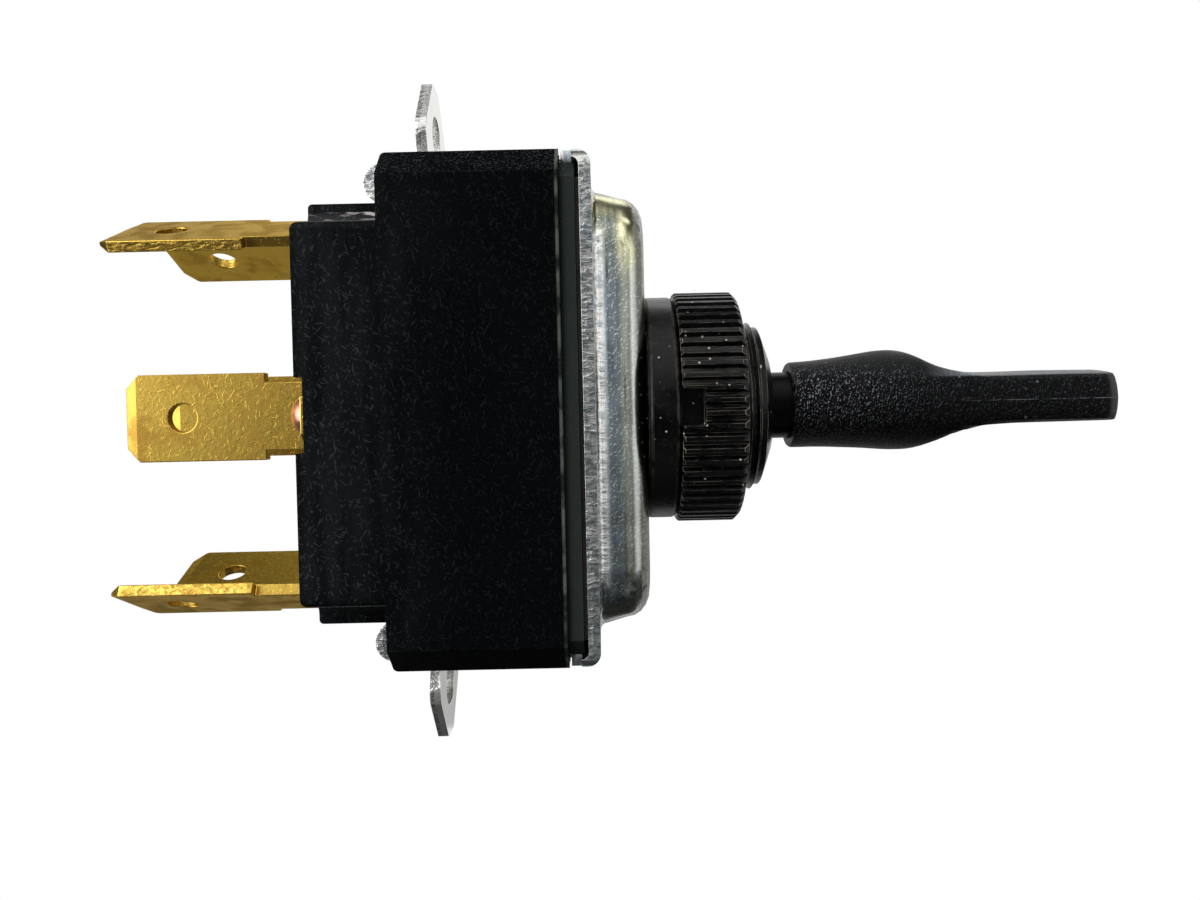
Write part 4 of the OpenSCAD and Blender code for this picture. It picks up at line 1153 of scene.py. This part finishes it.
class SWITCH_OT_terminals(bpy.types.Operator):
    """Dresses the blades and their rivets"""

    bl_idname = "switch.terminals"
    bl_label = "Terminals"

    # The end blades' tilt in degrees, and the blades' start and shoulder and the shoulder's move in mm
    tilt = 23
    blade_x = -24
    shoulder_out = 4.15
    shoulder_move = 0.4

    def execute(self, context):
        colours, sizes = settings()
        brass = self.terminal_brass(colours)
        for node in TERMINALS:
            shape = self.set_shoulder if node == "middle_far_terminal" else None
            piece = dress(node, brass, sizes.blade_edge, shape=shape, smooth=16)
            mark_faces(piece, "cut", lambda face, flat=self.flat_normal(node): self.is_cut(face, flat))
        dress("terminal_rivets", self.rivet_copper(colours), sizes.blade_edge)
        return {"FINISHED"}

    def terminal_brass(self, colours):
        """Rolled brass with tarnish, scratches and bright torn sides."""
        brass = Finish("terminal_brass", Metallic=1.0, Specular_Tint=(1, 0.82, 0.45, 1))
        cut = brass.attribute("cut")
        tarnish = brass.effect("smudges", Scale=480.0, Low=0.4, High=0.7)
        scuffs = brass.effect("streaks", Scale=6500.0, Amount=0.335)
        specks = brass.effect("specks", Scale=1400.0, Size=0.2, Amount=0.14)
        worn = brass.effect("worn_edges", Scale=600.0, Amount=0.7)
        torn = brass.noise(brass.stretch(brass.place, (2.0, 1.0, 1.0)), 3600.0, 3.0, 0.6)
        shorn = brass.times(cut, brass.span(torn, 0.35, 0.6))
        relief = brass.bump(scuffs, 0.005)
        relief = brass.bump(brass.grain(Scale=1900.0), 0.01, below=relief)
        brass.feed(
            Base_Color=brass.coats(
                colours.brass,
                (brass.times(tarnish, 0.6), colours.brass_dark),
                (brass.times(specks, 0.6), colours.brass_dark),
                (brass.most(brass.times(scuffs, 0.5), brass.times(worn, 0.6), shorn), colours.brass_bright),
            ),
            Roughness=brass.math("ADD", brass.span(tarnish, 0.0, 1.0, 0.3, 0.42), brass.times(cut, 0.05)),
            Normal=brass.bump(brass.times(torn, cut), 0.1, below=relief),
        )
        return brass.material

    def rivet_copper(self, colours):
        """Copper with dull patches."""
        copper = Finish("rivet_copper", Metallic=1.0)
        dull = copper.effect("smudges", Scale=700.0)
        copper.feed(
            Base_Color=copper.blend(dull, colours.copper, 0.5 * colours.copper),
            Roughness=copper.span(dull, 0.0, 1.0, 0.25, 0.45),
            Normal=copper.bump(copper.grain(Scale=1800.0), 0.02),
        )
        return copper.material

    def set_shoulder(self, piece):
        """Brings the blade's shoulder nearer to the wall, as far as the photo hides it."""
        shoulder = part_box("housing")[0].x - self.shoulder_out * MM
        for vert in piece.data.vertices:
            if abs(vert.co.x - shoulder) < 0.01 * MM:
                vert.co.x += self.shoulder_move * MM

    def flat_normal(self, node):
        """Direction across a blade's sheet."""
        if node.startswith("middle"):
            return Vector((0, 1, 0))
        tilt = math.radians(self.tilt)
        side = -1 if "near" in node else 1
        level = 1 if node.startswith("upper") else -1
        return Vector((0, side * math.sin(tilt), level * math.cos(tilt)))

    def is_cut(self, face, flat):
        """Whether a face is a sheared side of the blade."""
        normal = face.normal
        return abs(normal.dot(flat)) < 0.3 and abs(normal.x) < 0.3 and face.center.x < self.blade_x * MM


class SWITCH_OT_works(bpy.types.Operator):
    """Finishes the pieces inside the body"""

    bl_idname = "switch.works"
    bl_label = "Works"

    def execute(self, context):
        colours = settings()[0]
        silver = self.plain("contact_silver", colours.silver, 0.2, 0.35, Metallic=1.0)
        fibre = self.plain("fibre", colours.fibre, 0.6, 0.75)
        sheet = self.plain("insulating_sheet", colours.sheet, 0.6, 0.75)
        brass = bpy.data.materials["terminal_brass"]
        looks = {"fixed_contacts": silver, "pivot_pin": silver, "actuator": fibre, "insulator": sheet}
        for side in SIDES:
            self.coil(f"{side}_plunger_spring", f"{side}_plunger_slide", silver)
            looks[f"{side}_moving_contacts"] = silver
            looks[f"{side}_plunger"] = fibre
            looks[f"{side}_rocker"] = looks[f"{side}_fulcrum"] = brass
        for node, material in looks.items():
            paint(frame["nodes"][node], material)
        return {"FINISHED"}

    def coil(self, node, slide, material):
        """A copy of a spring with smooth shading, placed on the spring's body with a mesh of its own."""
        piece = solid_copy(node)
        finish_mesh(piece)
        place_on_body(piece, node, material)
        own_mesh(piece)

    def plain(self, name, tone, smooth, rough, **values):
        """A finish with mottled colour and roughness and a fine grain."""
        finish = Finish(name, **values)
        mottle = finish.effect("smudges", Scale=500.0)
        finish.feed(
            Base_Color=finish.blend(mottle, tone, 0.7 * tone),
            Roughness=finish.span(mottle, 0.0, 1.0, smooth, rough),
            Normal=finish.bump(finish.grain(Scale=3000.0), 0.01),
        )
        return finish.material


STEPS = (
    SWITCH_OT_stage,
    SWITCH_OT_housing,
    SWITCH_OT_cover,
    SWITCH_OT_collar,
    SWITCH_OT_lever,
    SWITCH_OT_terminals,
    SWITCH_OT_works,
)


class SWITCH_PT_panel(bpy.types.Panel):
    """Lists the steps and their settings"""

    bl_idname = "SWITCH_PT_panel"
    bl_label = "Window Switch"
    bl_space_type = "VIEW_3D"
    bl_region_type = "UI"
    bl_category = "Switch"

    def draw(self, context):
        for step in STEPS:
            self.layout.operator(step.bl_idname)
        for group in settings():
            for name in group.__annotations__:
                self.layout.prop(group, name)


CLASSES = (SwitchColours, SwitchSizes, *STEPS, SWITCH_PT_panel)


def register():
    """Adds the classes and their settings to Blender."""
    for each in CLASSES:
        bpy.utils.register_class(each)
    bpy.types.Scene.switch_colours = PointerProperty(type=SwitchColours)
    bpy.types.Scene.switch_sizes = PointerProperty(type=SwitchSizes)


def unregister():
    """Removes them again."""
    del bpy.types.Scene.switch_sizes
    del bpy.types.Scene.switch_colours
    for each in reversed(CLASSES):
        bpy.utils.unregister_class(each)


def main():
    """Registers the classes, makes the shared effects and runs every step."""
    register()
    for make in EFFECTS:
        make()
    for step in STEPS:
        group, name = step.bl_idname.split(".")
        getattr(getattr(bpy.ops, group), name)()
    deselect()


if __name__ == "__main__":
    main()
